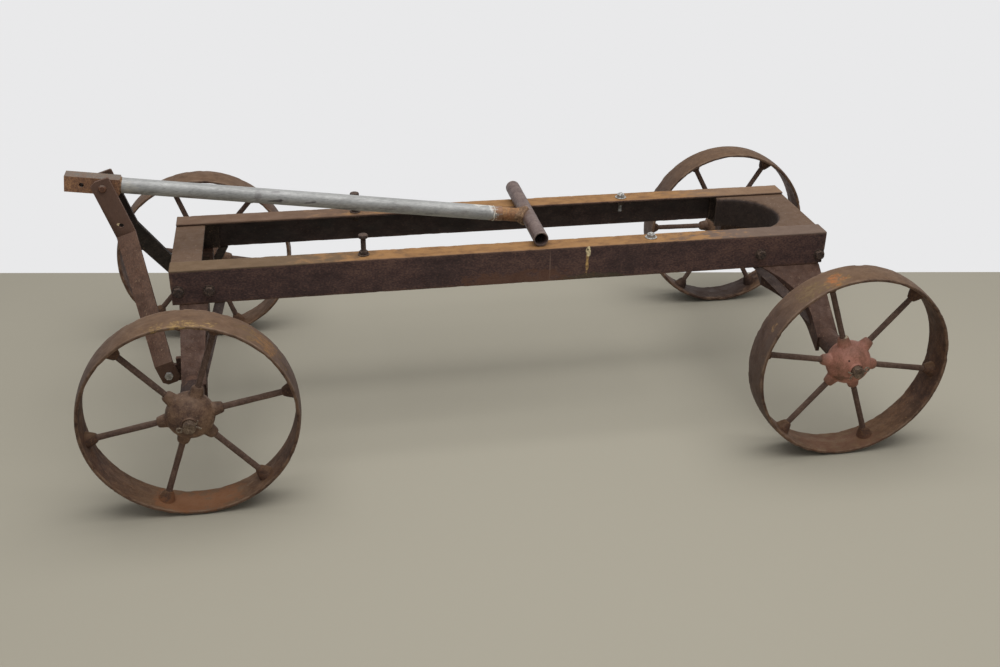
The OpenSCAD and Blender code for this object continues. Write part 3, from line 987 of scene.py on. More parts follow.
class Dresser:
    """Hands out materials and ties finished pieces to the frame."""

    def __init__(self) -> None:
        """Start with no materials made."""
        self.made: dict[str, bpy.types.Material] = {}

    def material(self, finish: Finish) -> bpy.types.Material:
        """Make a finish's material once and hand it out after that.

        Args:
            finish: The finish.

        Returns:
            Its material.
        """
        if finish.name not in self.made:
            self.made[finish.name] = finish.make()
        return self.made[finish.name]

    def dress(self, piece: bpy.types.Object, *finishes: Finish) -> None:
        """Give a new piece its materials.

        Args:
            piece: The piece.
            finishes: One finish for each of its material slots.
        """
        piece.data.materials.clear()
        for finish in finishes:
            piece.data.materials.append(self.material(finish))

    def stand_in(self, piece: bpy.types.Object, node: str, *finishes: Finish) -> None:
        """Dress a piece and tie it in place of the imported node."""
        self.dress(piece, *finishes)
        self.tie(piece, BODY_OF[node], SLOT_OF[node], node)

    def tie(self, piece: bpy.types.Object, body: str, slot: str, *nodes: str) -> None:
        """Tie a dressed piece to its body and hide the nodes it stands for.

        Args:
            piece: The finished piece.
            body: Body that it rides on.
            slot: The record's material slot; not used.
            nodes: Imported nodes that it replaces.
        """
        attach(piece, body)
        if nodes:
            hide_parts(*nodes)
        LOG.info("%s: %d faces on %s", piece.name, len(piece.data.polygons), body)

    def rework(self, node: str, edge: float, finish: Finish) -> None:
        """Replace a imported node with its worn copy.

        Args:
            node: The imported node.
            edge: Width of its rounded edges in millimetres.
            finish: Its finish; the rounded edges take the finish's rubbed shade.
        """
        piece = worn_copy(node, edge, f"{node}_worn")
        _, low, mid, high = finish.shades
        rubbed = replace(
            finish,
            name=f"{finish.name}_rubbed_edge",
            shades=(low, mid, high, finish.edge),
        )
        self.stand_in(piece, node, finish, rubbed)


def extruded(outline: Array, stations: Array, sink: Array, wear: Array) -> Shell:
    """Carry a closed outline of y and z along X.

    At each station the outline moves inwards along its own normals by the sink
    given there, which rounds the ends over.

    Args:
        outline: Pairs of y and z.
        stations: X of each row.
        sink: Inward move of the outline at each row.
        wear: Wear at each point of the outline.

    Returns:
        The bar's shell.
    """
    tangent = unit(np.roll(outline, -1, 0) - np.roll(outline, 1, 0))
    inward = np.stack([-tangent[:, 1], tangent[:, 0]], 1)
    y, z = outline.T
    if np.sum(y * np.roll(z, -1) - np.roll(y, -1) * z) < 0:
        inward = -inward
    rows = outline[None] + inward[None] * sink[:, None, None]
    x = np.broadcast_to(stations[:, None, None], (*rows.shape[:2], 1))
    end = np.exp(-np.minimum(stations - stations[0], stations[-1] - stations) / 4)
    marks = np.maximum(wear[None], end[:, None])
    return Shell(np.concatenate([x, rows], 2), marks={Mark.WEAR: marks})


def near_corners(line: Array, corners: Any, reach: float) -> Array:
    """Wear from one at a corner to nought a few times the reach away."""
    gaps = np.linalg.norm(line[:, None] - np.array(corners, float)[None], axis=2)
    return np.exp(-((gaps.min(1) / reach) ** 2))


# The rails are duller towards their ends. The near one has a dried drip of cream paint,
# a scratch and a greenish film low on its side.
RAIL_STAINS: dict[Side, tuple[Stain, ...]] = {
    Side.LEFT: (
        Stain((-714, -128, 417), (430, 60, 5), "#64513c", 0.85, 0.5),
        Stain((732, -128, 417), (330, 60, 5), "#67554a", 0.92, 0.7),
        Stain((174.5, -153.5, 381), (3.6, 5, 32), "#d0a767", 0.95, 0.9, 0.7),
        Stain((176, -152, 404), (5.6, 7, 12), "#fbeabb", 1.0, 0.6, 0.55),
        Stain((174.5, -152, 409), (2.4, 4, 2.6), "#33241a", 0.9, 0.2),
        Stain((91, -153.5, 374), (1.6, 3, 38), "#83695c", 0.6, 0.3),
        Stain((186, -153.5, 342), (80, 4, 11), "#4b4630", 0.5, 0.8),
        Stain((10, -153.5, 345), (140, 4, 22), "#6b4833", 0.5, 1.6),
    ),
    Side.RIGHT: (
        Stain((-714, 128, 417), (560, 60, 5), "#644d3d", 0.88, 0.5),
        Stain((732, 128, 417), (280, 60, 5), "#7d6552", 0.7, 0.5),
    ),
}


@dataclass
class Rails:
    """The two side rails, rolled angle iron with rounded toes and eaten edges."""

    dresser: Dresser
    flange: float = 50.0
    wall: float = 6.0
    heel_r: float = 2.0
    toe_r: float = 3.0
    fillet_r: float = 5.0
    grid: float = 5.0
    worn: float = 3.0
    ease: tuple[tuple[float, float], ...] = ((0.0, 1.1), (0.4, 0.35), (1.2, 0.0))
    tail: float = 15.0
    bite: tuple[float, float] = (12.0, 12.0)

    def build(self) -> None:
        """Build both rails."""
        for side in Side:
            self.rail(side)

    def rail(self, side: Side) -> None:
        """Carry the angle section from end to end.

        Its ends ease in by the given distances and sinks, and the rows stand closer
        over its tail. The left rail's lower rear corner is rusted away: close to the
        end, points of the web below a slanting line are lifted up to it.

        Args:
            side: The rail's side.
        """
        node = f"{side.word}_rail"
        low, high = box_mm(node)
        y0 = side.value * max(abs(low[1]), abs(high[1]))
        y1 = y0 - side.value * self.flange
        y2 = y0 - side.value * self.wall
        top, under = high[2], high[2] - self.wall
        corners = [(y0, low[2]), (y0, top), (y1, top), (y1, under), (y2, under), (y2, low[2])]
        radii = [self.heel_r] * 3 + [self.toe_r, self.fillet_r, self.toe_r]
        outline = rounded_outline(corners, radii, self.grid)
        wear = near_corners(outline, corners[:4] + corners[5:], self.worn)
        ease, sunk = np.array(self.ease).T
        start, end = low[0] + 3, high[0] - self.tail
        middle = np.linspace(start, end - 1, int((high[0] - low[0]) / self.grid))
        tail = np.linspace(end, high[0] - 3, 9)
        stations = np.concatenate([low[0] + ease, middle, tail, high[0] - ease[::-1]])
        sink = np.concatenate([sunk, np.zeros(len(middle) + len(tail)), sunk[::-1]])
        shell = extruded(outline, stations, sink, wear)
        # The inner faces under the flange get the band mark, which the finish paints as shade.
        y, z = abs(outline).T
        inside = (z < under + 1) & (y < abs(y0) - self.wall / 2)
        shell.marks[Mark.BAND] = inside[None].astype(float)
        if side is Side.LEFT:
            length, height = self.bite
            eaten = step(stations, high[0] - length - 1, high[0] - length * 0.45) * height
            jagged = lattice_noise(shell.points[:, 0], cell=3.0, seed=8) * 1.2
            eaten += np.where(eaten > 0, jagged, 0)
            floor = low[2] + np.clip(eaten, 0, None)[:, None]
            shell.points[..., 2] = np.maximum(shell.points[..., 2], floor)
        relief = Relief(pit=0.45, cell=8, chip=0.9, seed=3 + side.value)
        piece = Skin().add(shell).build(node + "_bar", relief)
        name = f"{RAIL_RUST.name}_{side.word}"
        finish = replace(RAIL_RUST, name=name, stains=RAIL_STAINS[side])
        self.dresser.stand_in(piece, node, finish)


# Fresh orange rust where the tread was knocked, rust where three rims stand, and painted shade low on the fourth.
RIM_STAINS_AND_SHADE: dict[str, tuple[Stain, ...]] = {
    "front_left": (
        Stain((-560, -400, 350), (60, 34, 46), "#7d6238", 0.6, 1.6, 0.8),
        Stain((-522, -400, 360), (34, 30, 26), "#8c6038", 0.55, 1.4, 0.85),
        Stain((-640, -425, 428), (90, 14, 14), "#a98a55", 0.7, 1.6, 0.9),
        Stain((-690, -400, 20), (120, 40, 18), "#875836", 0.65, 1.1),
        Stain((-846, -430, 130), (14, 8, 40), "#8f7358", 0.5, 1.2, 0.6),
    ),
    "rear_left": (
        Stain((634, -402, 417), (30, 26, 16), "#8a6a3e", 0.65, 1.6, 0.7),
        Stain((634, -400, 417), (22, 18, 11), "#a8622f", 0.75, 1.3, 0.75),
        Stain((590, -400, 392), (34, 26, 26), "#7a6440", 0.55, 1.8, 0.75),
        Stain((514, -402, 306), (8, 14, 22), "#a5825a", 0.6, 1.8, 0.95),
        Stain((700, -400, 20), (110, 40, 14), "#6d4a36", 0.55, 1.2),
    ),
    # Painted shade on the lower part of the rear right rim, which sits in the frame's shadow.
    "rear_right": (Stain((690, 400, 24), (170, 52, 64), "#2d190e", 0.9, 0.3),),
    "front_right": (Stain((-670, 400, 20), (120, 40, 14), "#6d4d34", 0.6, 1.2),),
}


# Profile of a spoke boss: share of its own radius, and of the way from its tip to the
# rim's ridge. It flares where it runs into the rim.
BOSS_FLARE = (
    (0.4, 0.0),
    (0.49, 0.03),
    (0.58, 0.12),
    (0.69, 0.3),
    (0.83, 0.55),
    (0.95, 0.8),
    (1.03, 0.95),
    (1.08, 1.12),
)


@dataclass
class Wheel:
    """A cast wheel: crowned rim with bosses, six round spokes and a domed hub."""

    dresser: Dresser
    corner: str
    turn: float
    rim_r: float = 215.0
    rim_w: float = 75.0
    crown: float = 3.0
    edge_t: float = 7.0
    mid_t: float = 12.0
    lip_r: float = 2.4
    inner_r: float = 2.8
    spokes: int = 6
    spoke_d: float = 13.0
    boss_r: float = 183.0
    boss_wide: float = 16.8
    streak: float = 1.5
    hub_r: float = 48.5
    hub_boss_r: float = 66.5
    dome_reach: float = 0.56
    knob_r: float = 11.5
    knob_fall: tuple[float, float] = (0.66, 1.36)
    knob_crown: float = 0.14
    bore_r: float = 12.55
    nose_r: float = 16.0
    nose_l: float = 5.0

    def __post_init__(self) -> None:
        """Find the wheel's middle and its outward direction from its joint."""
        joint = JOINTS[f"{self.corner}_spin"]
        self.side = Side.LEFT if self.corner.endswith("left") else Side.RIGHT
        x, y, z = np.array(joint["pos_m"]) / MM
        self.out = np.array([0.0, self.side.value, 0.0])
        self.origin = np.array([x, y, z]) - self.out * self.rim_w / 2

    def rays(self) -> Array:
        """Directions of the spokes, evenly round the axle from the wheel's turn."""
        angle = np.radians(self.turn + 360 / self.spokes * np.arange(self.spokes))
        return np.stack([np.cos(angle), np.zeros(self.spokes), np.sin(angle)], 1)

    def build(self) -> None:
        """Build the three pieces of the wheel."""
        self.rim()
        self.spoke_set()
        self.hub()

    def rim(self) -> None:
        """Turn the rim's section round the axle and set the spoke bosses in it.

        The tread is a parabola across the width. The inner side slopes from both
        edges to a ridge in the middle. A boss is a cone that flares into the ridge.
        """
        across = np.linspace(-1, 1, 13)
        tread = [(self.rim_r - self.crown * t * t, (t + 1) * self.rim_w / 2) for t in across]
        edge_r = self.rim_r - self.crown - self.edge_t
        inner = [(edge_r, self.rim_w), (self.rim_r - self.mid_t, self.rim_w / 2), (edge_r, 0)]
        corners = tread + inner
        radii = [self.lip_r] + [0.0] * (len(tread) - 2)
        radii += [self.lip_r, self.inner_r, 0.0, self.inner_r]
        outline = rounded_outline(corners, radii, 4.5)
        shell = turned(outline, self.origin, self.out, FINE_STEPS, ring=True)
        edges = [tread[0], tread[-1], inner[0], inner[-1]]
        wear = near_corners(outline, edges, 3.2)[:, None]
        band = step(outline[:, 0], edge_r + 2, edge_r + self.edge_t)[:, None]
        shell.marks = {Mark.WEAR: wear, Mark.BAND: band}
        spin = unit((shell.points - self.origin) * (1, 0, 1))
        shell.flow = shell.points - spin * self.rim_r * (1 - 1 / self.streak)
        skin = Skin().add(shell)
        reach = self.rim_r - self.mid_t - self.boss_r
        profile = [(self.boss_wide * r, self.boss_r + reach * h) for r, h in BOSS_FLARE]
        middle = self.origin + self.out * self.rim_w / 2
        for ray in self.rays():
            skin.add(turned(profile, middle, ray, steps=28))
        relief = Relief(pit=0.6, cell=7, chip=1.9, seed=sum(map(ord, self.corner)))
        node = f"{self.corner}_rim"
        piece = skin.build(node + "_cast", relief)
        stains = RIM_STAINS_AND_SHADE[self.corner]
        finish = replace(RIM_RUST, name=f"{RIM_RUST.name}_{self.corner}", stains=stains)
        self.dresser.stand_in(piece, node, finish)

    def spoke_set(self) -> None:
        """Run a slightly uneven round bar along each ray from hub boss to rim boss."""
        skin = Skin()
        middle = self.origin + self.out * self.rim_w / 2
        along = np.linspace(self.hub_boss_r - 6, self.boss_r + 4, 26)
        for number, ray in enumerate(self.rays()):
            path = middle + along[:, None] * ray
            uneven = lattice_noise(path, cell=24, seed=number + 5) * 0.3
            girth = uneven + self.spoke_d / 2 - 0.1
            skin.add(swept(path, girth, steps=18))
        node = f"{self.corner}_spokes"
        piece = skin.build(node + "_bars", Relief(pit=0.2, cell=7, seed=4))
        self.dresser.stand_in(piece, node, SPOKE_RUST)

    def hub(self) -> None:
        """Cast the hub in one skin, with knobs that hold the spokes.

        The dome's radius at height a is that of an ellipse. Round each ray a knob
        lifts the radius to its own height. It is full within the knob's radius and
        falls away smoothly outside it, which leaves the casting's soft fillets.
        """
        width, half, bore = self.rim_w, self.rim_w / 2, self.bore_r
        top, nose_r = width + self.nose_l, self.nose_r
        heights = np.linspace(4, width - 4, 84)
        dome = self.hub_r * np.sqrt(1 - ((heights - half) / (width * self.dome_reach)) ** 2)
        start = [(bore, 6), (bore, 0.6), (bore + 0.8, 0), (bore + 11, 0), (bore + 13, 1.2)]
        nose = [(nose_r + 3, width - 1.2), (nose_r + 0.3, width + 0.6), (nose_r, top - 1)]
        nose += [(nose_r - 1, top), (bore + 0.6, top), (bore, top - 1), (bore, width - 8)]
        profile = np.concatenate([start, np.stack([dome, heights], 1), nose])
        shell = turned(profile, self.origin, self.out, FINE_STEPS, ring=True)
        centre = self.origin + self.out * profile[:, 1, None, None]
        body = slice(len(start), len(start) + len(heights))
        spin = unit(shell.points - centre)[body]
        away = np.full(spin.shape[:2], np.inf)
        for ray in self.rays():
            side = np.arccos(np.clip(spin @ ray, -1, 1)) * dome[:, None]
            away = np.minimum(away, np.hypot(side, heights[:, None] - half))
        full, gone = (self.knob_r * share for share in self.knob_fall)
        lift = (self.hub_boss_r - dome)[:, None] * (1 - step(away, full, gone))
        crowning = 1 - self.knob_crown * (away / self.knob_r) ** 2
        shell.points[body] += spin * (lift * crowning)[..., None]
        wear = np.zeros(shell.points.shape[:2])
        wear[body] = step(away, self.knob_r * 1.35, self.knob_r * 0.6)
        shell.marks[Mark.WEAR] = wear
        node = f"{self.corner}_hub"
        relief = Relief(pit=0.45, cell=10, seed=12)
        piece = Skin().add(shell).build(node + "_cast", relief)
        primer = self.corner == "rear_left"
        self.dresser.stand_in(piece, node, HUB_PRIMER_AND_SHADE if primer else HUB_RUST)


@dataclass
class Spindle:
    """A fixed axle end with its collar and the split pin that keeps the wheel on."""

    dresser: Dresser
    corner: str
    pin_turn: float
    axle_r: float = 12.5
    collar_at: float = 350.0
    collar_t: float = 4.5
    wire_r: float = 1.7
    pin_in: float = 6.2
    eye_r: float = 4.8
    eye_at: float = 19.5
    leg_from: float = 15.5
    leg_l: float = 36.0
    leg_apart: float = 9.0

    def build(self) -> None:
        """Turn the spindle and bend its split pin."""
        node = f"{self.corner}_spindle"
        low, high = box_mm(node)
        side = Side.LEFT if self.corner.endswith("left") else Side.RIGHT
        out = np.array([0.0, side.value, 0.0])
        inner, outer = sorted([abs(low[1]), abs(high[1])])
        centre = (low + high) / 2 * (1, 0, 1)
        collar, axle = (high[2] - low[2]) / 2, self.axle_r
        near, far = self.collar_at, self.collar_at + self.collar_t
        profile = [(axle - 1, inner), (axle, inner + 1), (axle, near), (collar - 1, near)]
        profile += [(collar, near + 1), (collar, far - 1), (collar - 1, far), (axle, far)]
        profile += [(axle, outer - 1.6), (axle - 0.5, outer - 0.6), (axle - 1.8, outer)]
        profile += [(4.0, outer), (1.5, outer - 1.5)]
        shell = turned(profile, centre, out, steps=48)
        heights = np.array(profile)[:, 1:]
        shell.marks[Mark.BAND] = 1 - step(heights, inner + 20, near + 2)
        relief = Relief(pit=0.12, cell=5, seed=2)
        piece = Skin().add(shell).build(node + "_turned", relief)
        self.dresser.stand_in(piece, node, SPINDLE_STEEL)
        self.split_pin(centre + out * (outer - self.pin_in), out)

    def split_pin(self, at: Array, out: Array) -> None:
        """Carry a round wire through the axle, with an eye at one end and bent legs.

        The eye is most of a circle. The two legs leave the far side of the axle and
        bend apart round it.

        Args:
            at: Point on the axle's middle line that the pin crosses.
            out: Direction out of the cart.
        """
        angle = math.radians(self.pin_turn)
        run = np.array([math.cos(angle), 0.0, math.sin(angle)])
        across = np.cross(out, run)
        t = np.linspace(-math.pi * 0.82, math.pi * 0.82, 22)[:, None]
        eye = at + run * (self.eye_at + self.eye_r * np.cos(t))
        eye += across * self.eye_r * np.sin(t)
        skin = Skin().add(swept(eye, self.wire_r, steps=10))
        s = np.linspace(0, 1, 16)[:, None]
        apart = self.wire_r * 0.85 + self.leg_apart * step(s, 0.8, 1.1) + 1.6 * s
        for way in (-1, 1):
            leg = at + run * (self.leg_from - self.leg_l * s) + across * way * apart
            skin.add(swept(leg, self.wire_r, steps=10))
        piece = skin.build(f"{self.corner}_split_pin")
        self.dresser.dress(piece, PIN_STEEL)
        self.dresser.tie(piece, "chassis", "spindle_steel")


# Stains along the drawbar: distance along, y, height, reach, colour, strength, broken.
# The pipe's are counted from its scorched end: frosted there, scuffed along its side.
PIPE_SPOTS = (
    (-25, 0, 5, (9, 20, 20), "#f2efe8", 0.9, 0.75),
    (-48, 8, 14, (24, 16, 7), "#eeeae0", 0.8, 0.85),
    (-82, -10, 4, (20, 9, 7), "#75706a", 0.5, 0.7),
    (-809, -10, -2, (16, 20, 17), "#c4bfb2", 0.6, 0.7),
    (-797, -14, -12, (40, 12, 6), "#6a6660", 0.55, 0.75),
    (-696, -12, -13, (40, 9, 5), "#6a6468", 0.7, 0.5),
    (-540, -14, 0, (7, 12, 18), "#7c7878", 0.6, 0.5),
    (-500, -16, -3, (17, 9, 2.6), "#463f41", 0.95, 0.35),
    (-497, -8, 14, (18, 9, 4), "#747071", 0.65, 0.4),
    (-429, -16, -2, (15, 9, 2.6), "#463f41", 0.95, 0.4),
    (-353, -12, -12, (24, 9, 5), "#5f5a5c", 0.8, 0.4),
    (-246, -14, 2, (42, 9, 6), "#76716c", 0.5, 0.8),
    (-156, -14, -9, (30, 9, 4), "#66615e", 0.6, 0.7),
    (-2, 0, 0, (24, 44, 44), "#8c6547", 0.97, 0.0),
)
STUB_SPOTS = (
    (26, -12, 4, (16, 16, 18), "#80644a", 0.6, 0.6),
    (4, -8, 8, (9, 16, 14), "#a98a68", 0.5, 0.8),
)
CROSSBAR_SPOTS = ((-8, 0, 0, (20, 34, 22), "#735a49", 0.7, 0.4),)
# Beads behind the one at the crossbar: how far back, how much closer in, size and seed.
BEADS = ((6.5, 1.2, 5.8, 4), (12.5, 2.6, 4.6, 8))
# Crumbs of zinc beyond the crust: angle round the pipe, distance along and size.
CRUMBS = (
    (-0.6, 6.0, 1.9),
    (0.9, 7.0, 1.4),
    (0.3, 3.6, 2.0),
    (-0.25, 5.2, 1.5),
    (0.0, 9.0, 1.2),
)


@dataclass
class Drawbar:
    """Square block, galvanised pipe, scorched stub and the crossbar to pull by."""

    dresser: Dresser
    pipe_r: float = 16.7
    stub_r: float = 15.5
    stub_l: float = 46.0
    scorch: float = 19.0
    bar_r: float = 16.7
    bar_bore: float = 13.3
    block_back: float = 33.0
    bead_r: float = 6.6
    round_steps: int = 90

    def __post_init__(self) -> None:
        """Find the drawbar's line from its pivot to the middle of the crossbar."""
        self.pivot = np.array(JOINTS["drawbar_pivot"]["pos_m"]) / MM
        low, high = box_mm("crossbar")
        self.bar = low, high
        self.tip = (low + high) / 2 * (1, 0, 1)
        self.length = float(np.linalg.norm(self.tip - self.pivot))
        self.run = unit(self.tip - self.pivot)

    def keep(self, skin: Skin, node: str, finish: Finish, relief: Relief) -> None:
        """Build a skin in place of a node and dress it."""
        piece = skin.build(node + "_round", relief)
        self.dresser.stand_in(piece, node, finish)

    def build(self) -> None:
        """Build the drawbar's pieces, their welds and the crust of zinc."""
        self.dresser.rework("pivot_block", 2.2, BLOCK_RUST)
        seam = self.length - self.bar_r - self.stub_l
        heights = np.linspace(self.block_back - 6, seam - 1, 90)
        profile = [(self.pipe_r, h) for h in heights] + [(self.pipe_r - 1, seam)]
        pipe = Skin().add(turned(profile, self.pivot, self.run, steps=56))
        finish = self.stained(GALVANISED, PIPE_SPOTS, seam)
        self.keep(pipe, "drawbar_pipe", finish, Relief(pit=0.12, cell=30, seed=9))
        profile = [(self.stub_r, h) for h in np.linspace(seam - 8, self.length - 6, 24)]
        stub = Skin().add(turned(profile, self.pivot, self.run, steps=48))
        finish = self.stained(BRONZE_RUST, STUB_SPOTS, seam)
        self.keep(stub, "drawbar_stub", finish, Relief(pit=0.5, cell=6, seed=3))
        self.crossbar()
        up = unit(np.cross(self.run, (0, 1, 0)))
        self.welds(up)
        self.zinc_crust(seam - self.scorch, up)

    def stained(self, finish: Finish, spots: tuple, start: float) -> Finish:
        """Stain a finish at places counted along the drawbar.

        Args:
            finish: The plain finish.
            spots: Rows of distance along, y, height, reach, colour, strength, broken.
            start: Distance from the pivot that the rows are counted from.

        Returns:
            The finish with its stains.
        """
        stains = []
        for along, y, z, reach, colour, strength, broken in spots:
            place = self.pivot + self.run * (start + along) + np.array([0.0, y, z])
            stains.append(Stain(tuple(place), reach, colour, strength, 1.2, broken))
        return replace(finish, stains=tuple(stains))

    def crossbar(self) -> None:
        """Turn an open tube along Y with rounded lips, worn at its outer ones."""
        low, high = self.bar[0][1], self.bar[1][1]
        outer, bore = self.bar_r, self.bar_bore
        profile = [(outer - 0.9, low), (outer - 0.2, low + 0.7)]
        profile += [(outer, y) for y in np.linspace(low + 2, high - 2, 46)]
        profile += [(outer - 0.2, high - 0.7), (outer - 0.9, high), (bore + 0.3, high)]
        profile += [(bore, high - 1), (bore, low + 1), (bore + 0.3, low)]
        shell = turned(profile, self.tip, (0, 1, 0), steps=56, ring=True)
        radius, y = np.array(profile).T[..., None]
        fade = np.exp(-np.minimum(y - low, high - y) / 2.2)
        shell.marks[Mark.WEAR] = fade * (radius > bore + 1)
        finish = self.stained(CROSSBAR_STEEL, CROSSBAR_SPOTS, self.length)
        relief = Relief(pit=0.15, cell=9, seed=6)
        self.keep(Skin().add(shell), "crossbar", finish, relief)

    def round_line(self, up: Array) -> tuple[Array, Array]:
        """Go once round the drawbar's line, from Y towards the upward direction.

        Args:
            up: Direction square to the drawbar and to Y.

        Returns:
            The angles, and the direction square to the drawbar at each.
        """
        turn = np.linspace(0, 2 * math.pi, self.round_steps, endpoint=False)
        side = np.array([0.0, 1.0, 0.0])
        return turn, np.cos(turn)[:, None] * side + np.sin(turn)[:, None] * up

    def welds(self, up: Array) -> None:
        """Lay lumpy beads: round the stub at the crossbar, and at the block.

        A bead is a ring whose thickness and place a noise makes uneven. The one at
        the crossbar follows the saddle curve where the two tubes meet: the distance
        from the crossbar's middle is the root of its radius squared less the square
        of the stub's radius times the sine of the angle.

        Args:
            up: Direction square to the drawbar and to Y.
        """
        turn, spin = self.round_line(up)
        saddle = np.sqrt(self.bar_r**2 - (self.stub_r * np.sin(turn)) ** 2)
        at = self.tip - self.run * (saddle + 1.5)[:, None] + spin * (self.stub_r - 0.2)
        lump = self.bead_r + 2.0 * lattice_noise(at, cell=9, seed=21) - 0.8 * np.sin(turn)
        skin = Skin().add(swept(at, lump, steps=14, ring=True))
        for back, sink, size, seed in BEADS:
            bead = at - self.run * back - spin * sink
            lump = size + 1.7 * lattice_noise(bead, cell=7, seed=seed)
            skin.add(swept(bead, lump, steps=14, ring=True))
        ring = self.pivot + self.run * (self.block_back + 1.5) + spin * (self.pipe_r - 0.6)
        lump = 2.6 + 1.2 * lattice_noise(ring, cell=6, seed=5)
        skin.add(swept(ring, lump, steps=12, ring=True))
        piece = skin.build("drawbar_welds", Relief(pit=1.4, cell=6, seed=31))
        self.dresser.dress(piece, WELD_METAL)
        self.dresser.tie(piece, "drawbar", "bronze_rust")

    def zinc_crust(self, burnt: float, up: Array) -> None:
        """Lay a wavy ring of crust where the zinc was burnt off, and crumbs beyond it.

        Args:
            burnt: Distance from the pivot to the ring.
            up: Direction square to the drawbar and to Y.
        """
        spin = self.round_line(up)[1]
        wave = burnt + lattice_noise(spin * 20, cell=11, seed=3) * 1.6
        ring = self.pivot + self.run * wave[:, None] + spin * (self.pipe_r - 0.1)
        lump = 1.3 + 0.7 * lattice_noise(ring, cell=5, seed=7)
        skin = Skin().add(swept(ring, lump, steps=10, ring=True))
        for angle, ahead, size in CRUMBS:
            out = math.sin(angle) * up - (0, math.cos(angle), 0)
            base = self.pivot + self.run * (burnt + ahead) + out * (self.pipe_r - 0.7)
            profile = [(size, 0), (size * 0.9, 0.6), (size * 0.4, 1.3)]
            skin.add(turned(profile, base, out, steps=12))
        piece = skin.build("zinc_bloom_ring", Relief(pit=0.5, cell=4, seed=2))
        self.dresser.dress(piece, ZINC_BLOOM)
        self.dresser.tie(piece, "drawbar", "galvanised_steel")


@dataclass
class Undercarriage:
    """Crossmembers, legs and braces, as packed but with worn edges."""

    dresser: Dresser
    edge: float = 1.4
    brace_edge: float = 0.98

    def build(self) -> None:
        """Rework each plate and leg."""
        for end in ("front", "rear"):
            self.dresser.rework(f"{end}_crossmember", self.edge, PLATE_RUST_AND_SHADE)
            for side in Side:
                corner = f"{end}_{side.word}"
                self.dresser.rework(f"{corner}_leg", self.edge, LEG_RUST_AND_SHADE)
                self.dresser.rework(f"{corner}_brace", self.brace_edge, BRACE_RUST_IN_SHADE)


@dataclass
class Yoke:
    """Two straps from the legs up to the drawbar's block, with their pins."""

    dresser: Dresser
    edge: float = 1.3
    bolt_edge: float = 0.7
    rivet_edge: float = 0.9

    def build(self) -> None:
        """Rework the straps, lugs and pins."""
        for side in Side:
            bar = NEAR_STRAP_RUST_AND_LIGHT if side is Side.LEFT else FAR_STRAP_RUST_IN_SHADE
            self.dresser.rework(f"{side.word}_strap", self.edge, bar)
            self.dresser.rework(f"{side.word}_yoke_lug", self.edge, LEG_RUST_AND_SHADE)
            self.dresser.rework(f"{side.word}_yoke_bolt", self.bolt_edge, ZINC_STEEL)
        self.dresser.rework("pivot_pin", self.rivet_edge, RIVET_RUST)


@dataclass(frozen=True)
class BoltSize:
    """Sizes of one kind of bolt: width across flats, and height of head and nut."""

    across: float
    head: float
    nut: float = 8.0


DECK_BOLT = BoltSize(across=17.0, head=7.0)
SIDE_BOLT = BoltSize(across=19.0, head=9.0)
# Section of the worn cap on a loose deck bolt: radius and height.
BOLT_CAP = ((3, 0), (9.8, 0), (10.6, 1), (10.6, 5), (9.6, 7), (6, 8), (1.5, 8.4))
# Side bolts: distance behind the front axle, and height.
SIDE_BOLTS_AT = ((-20.0, 370.0), (42.6, 368.5), (1257.0, 372.0), (1398.0, 363.0))


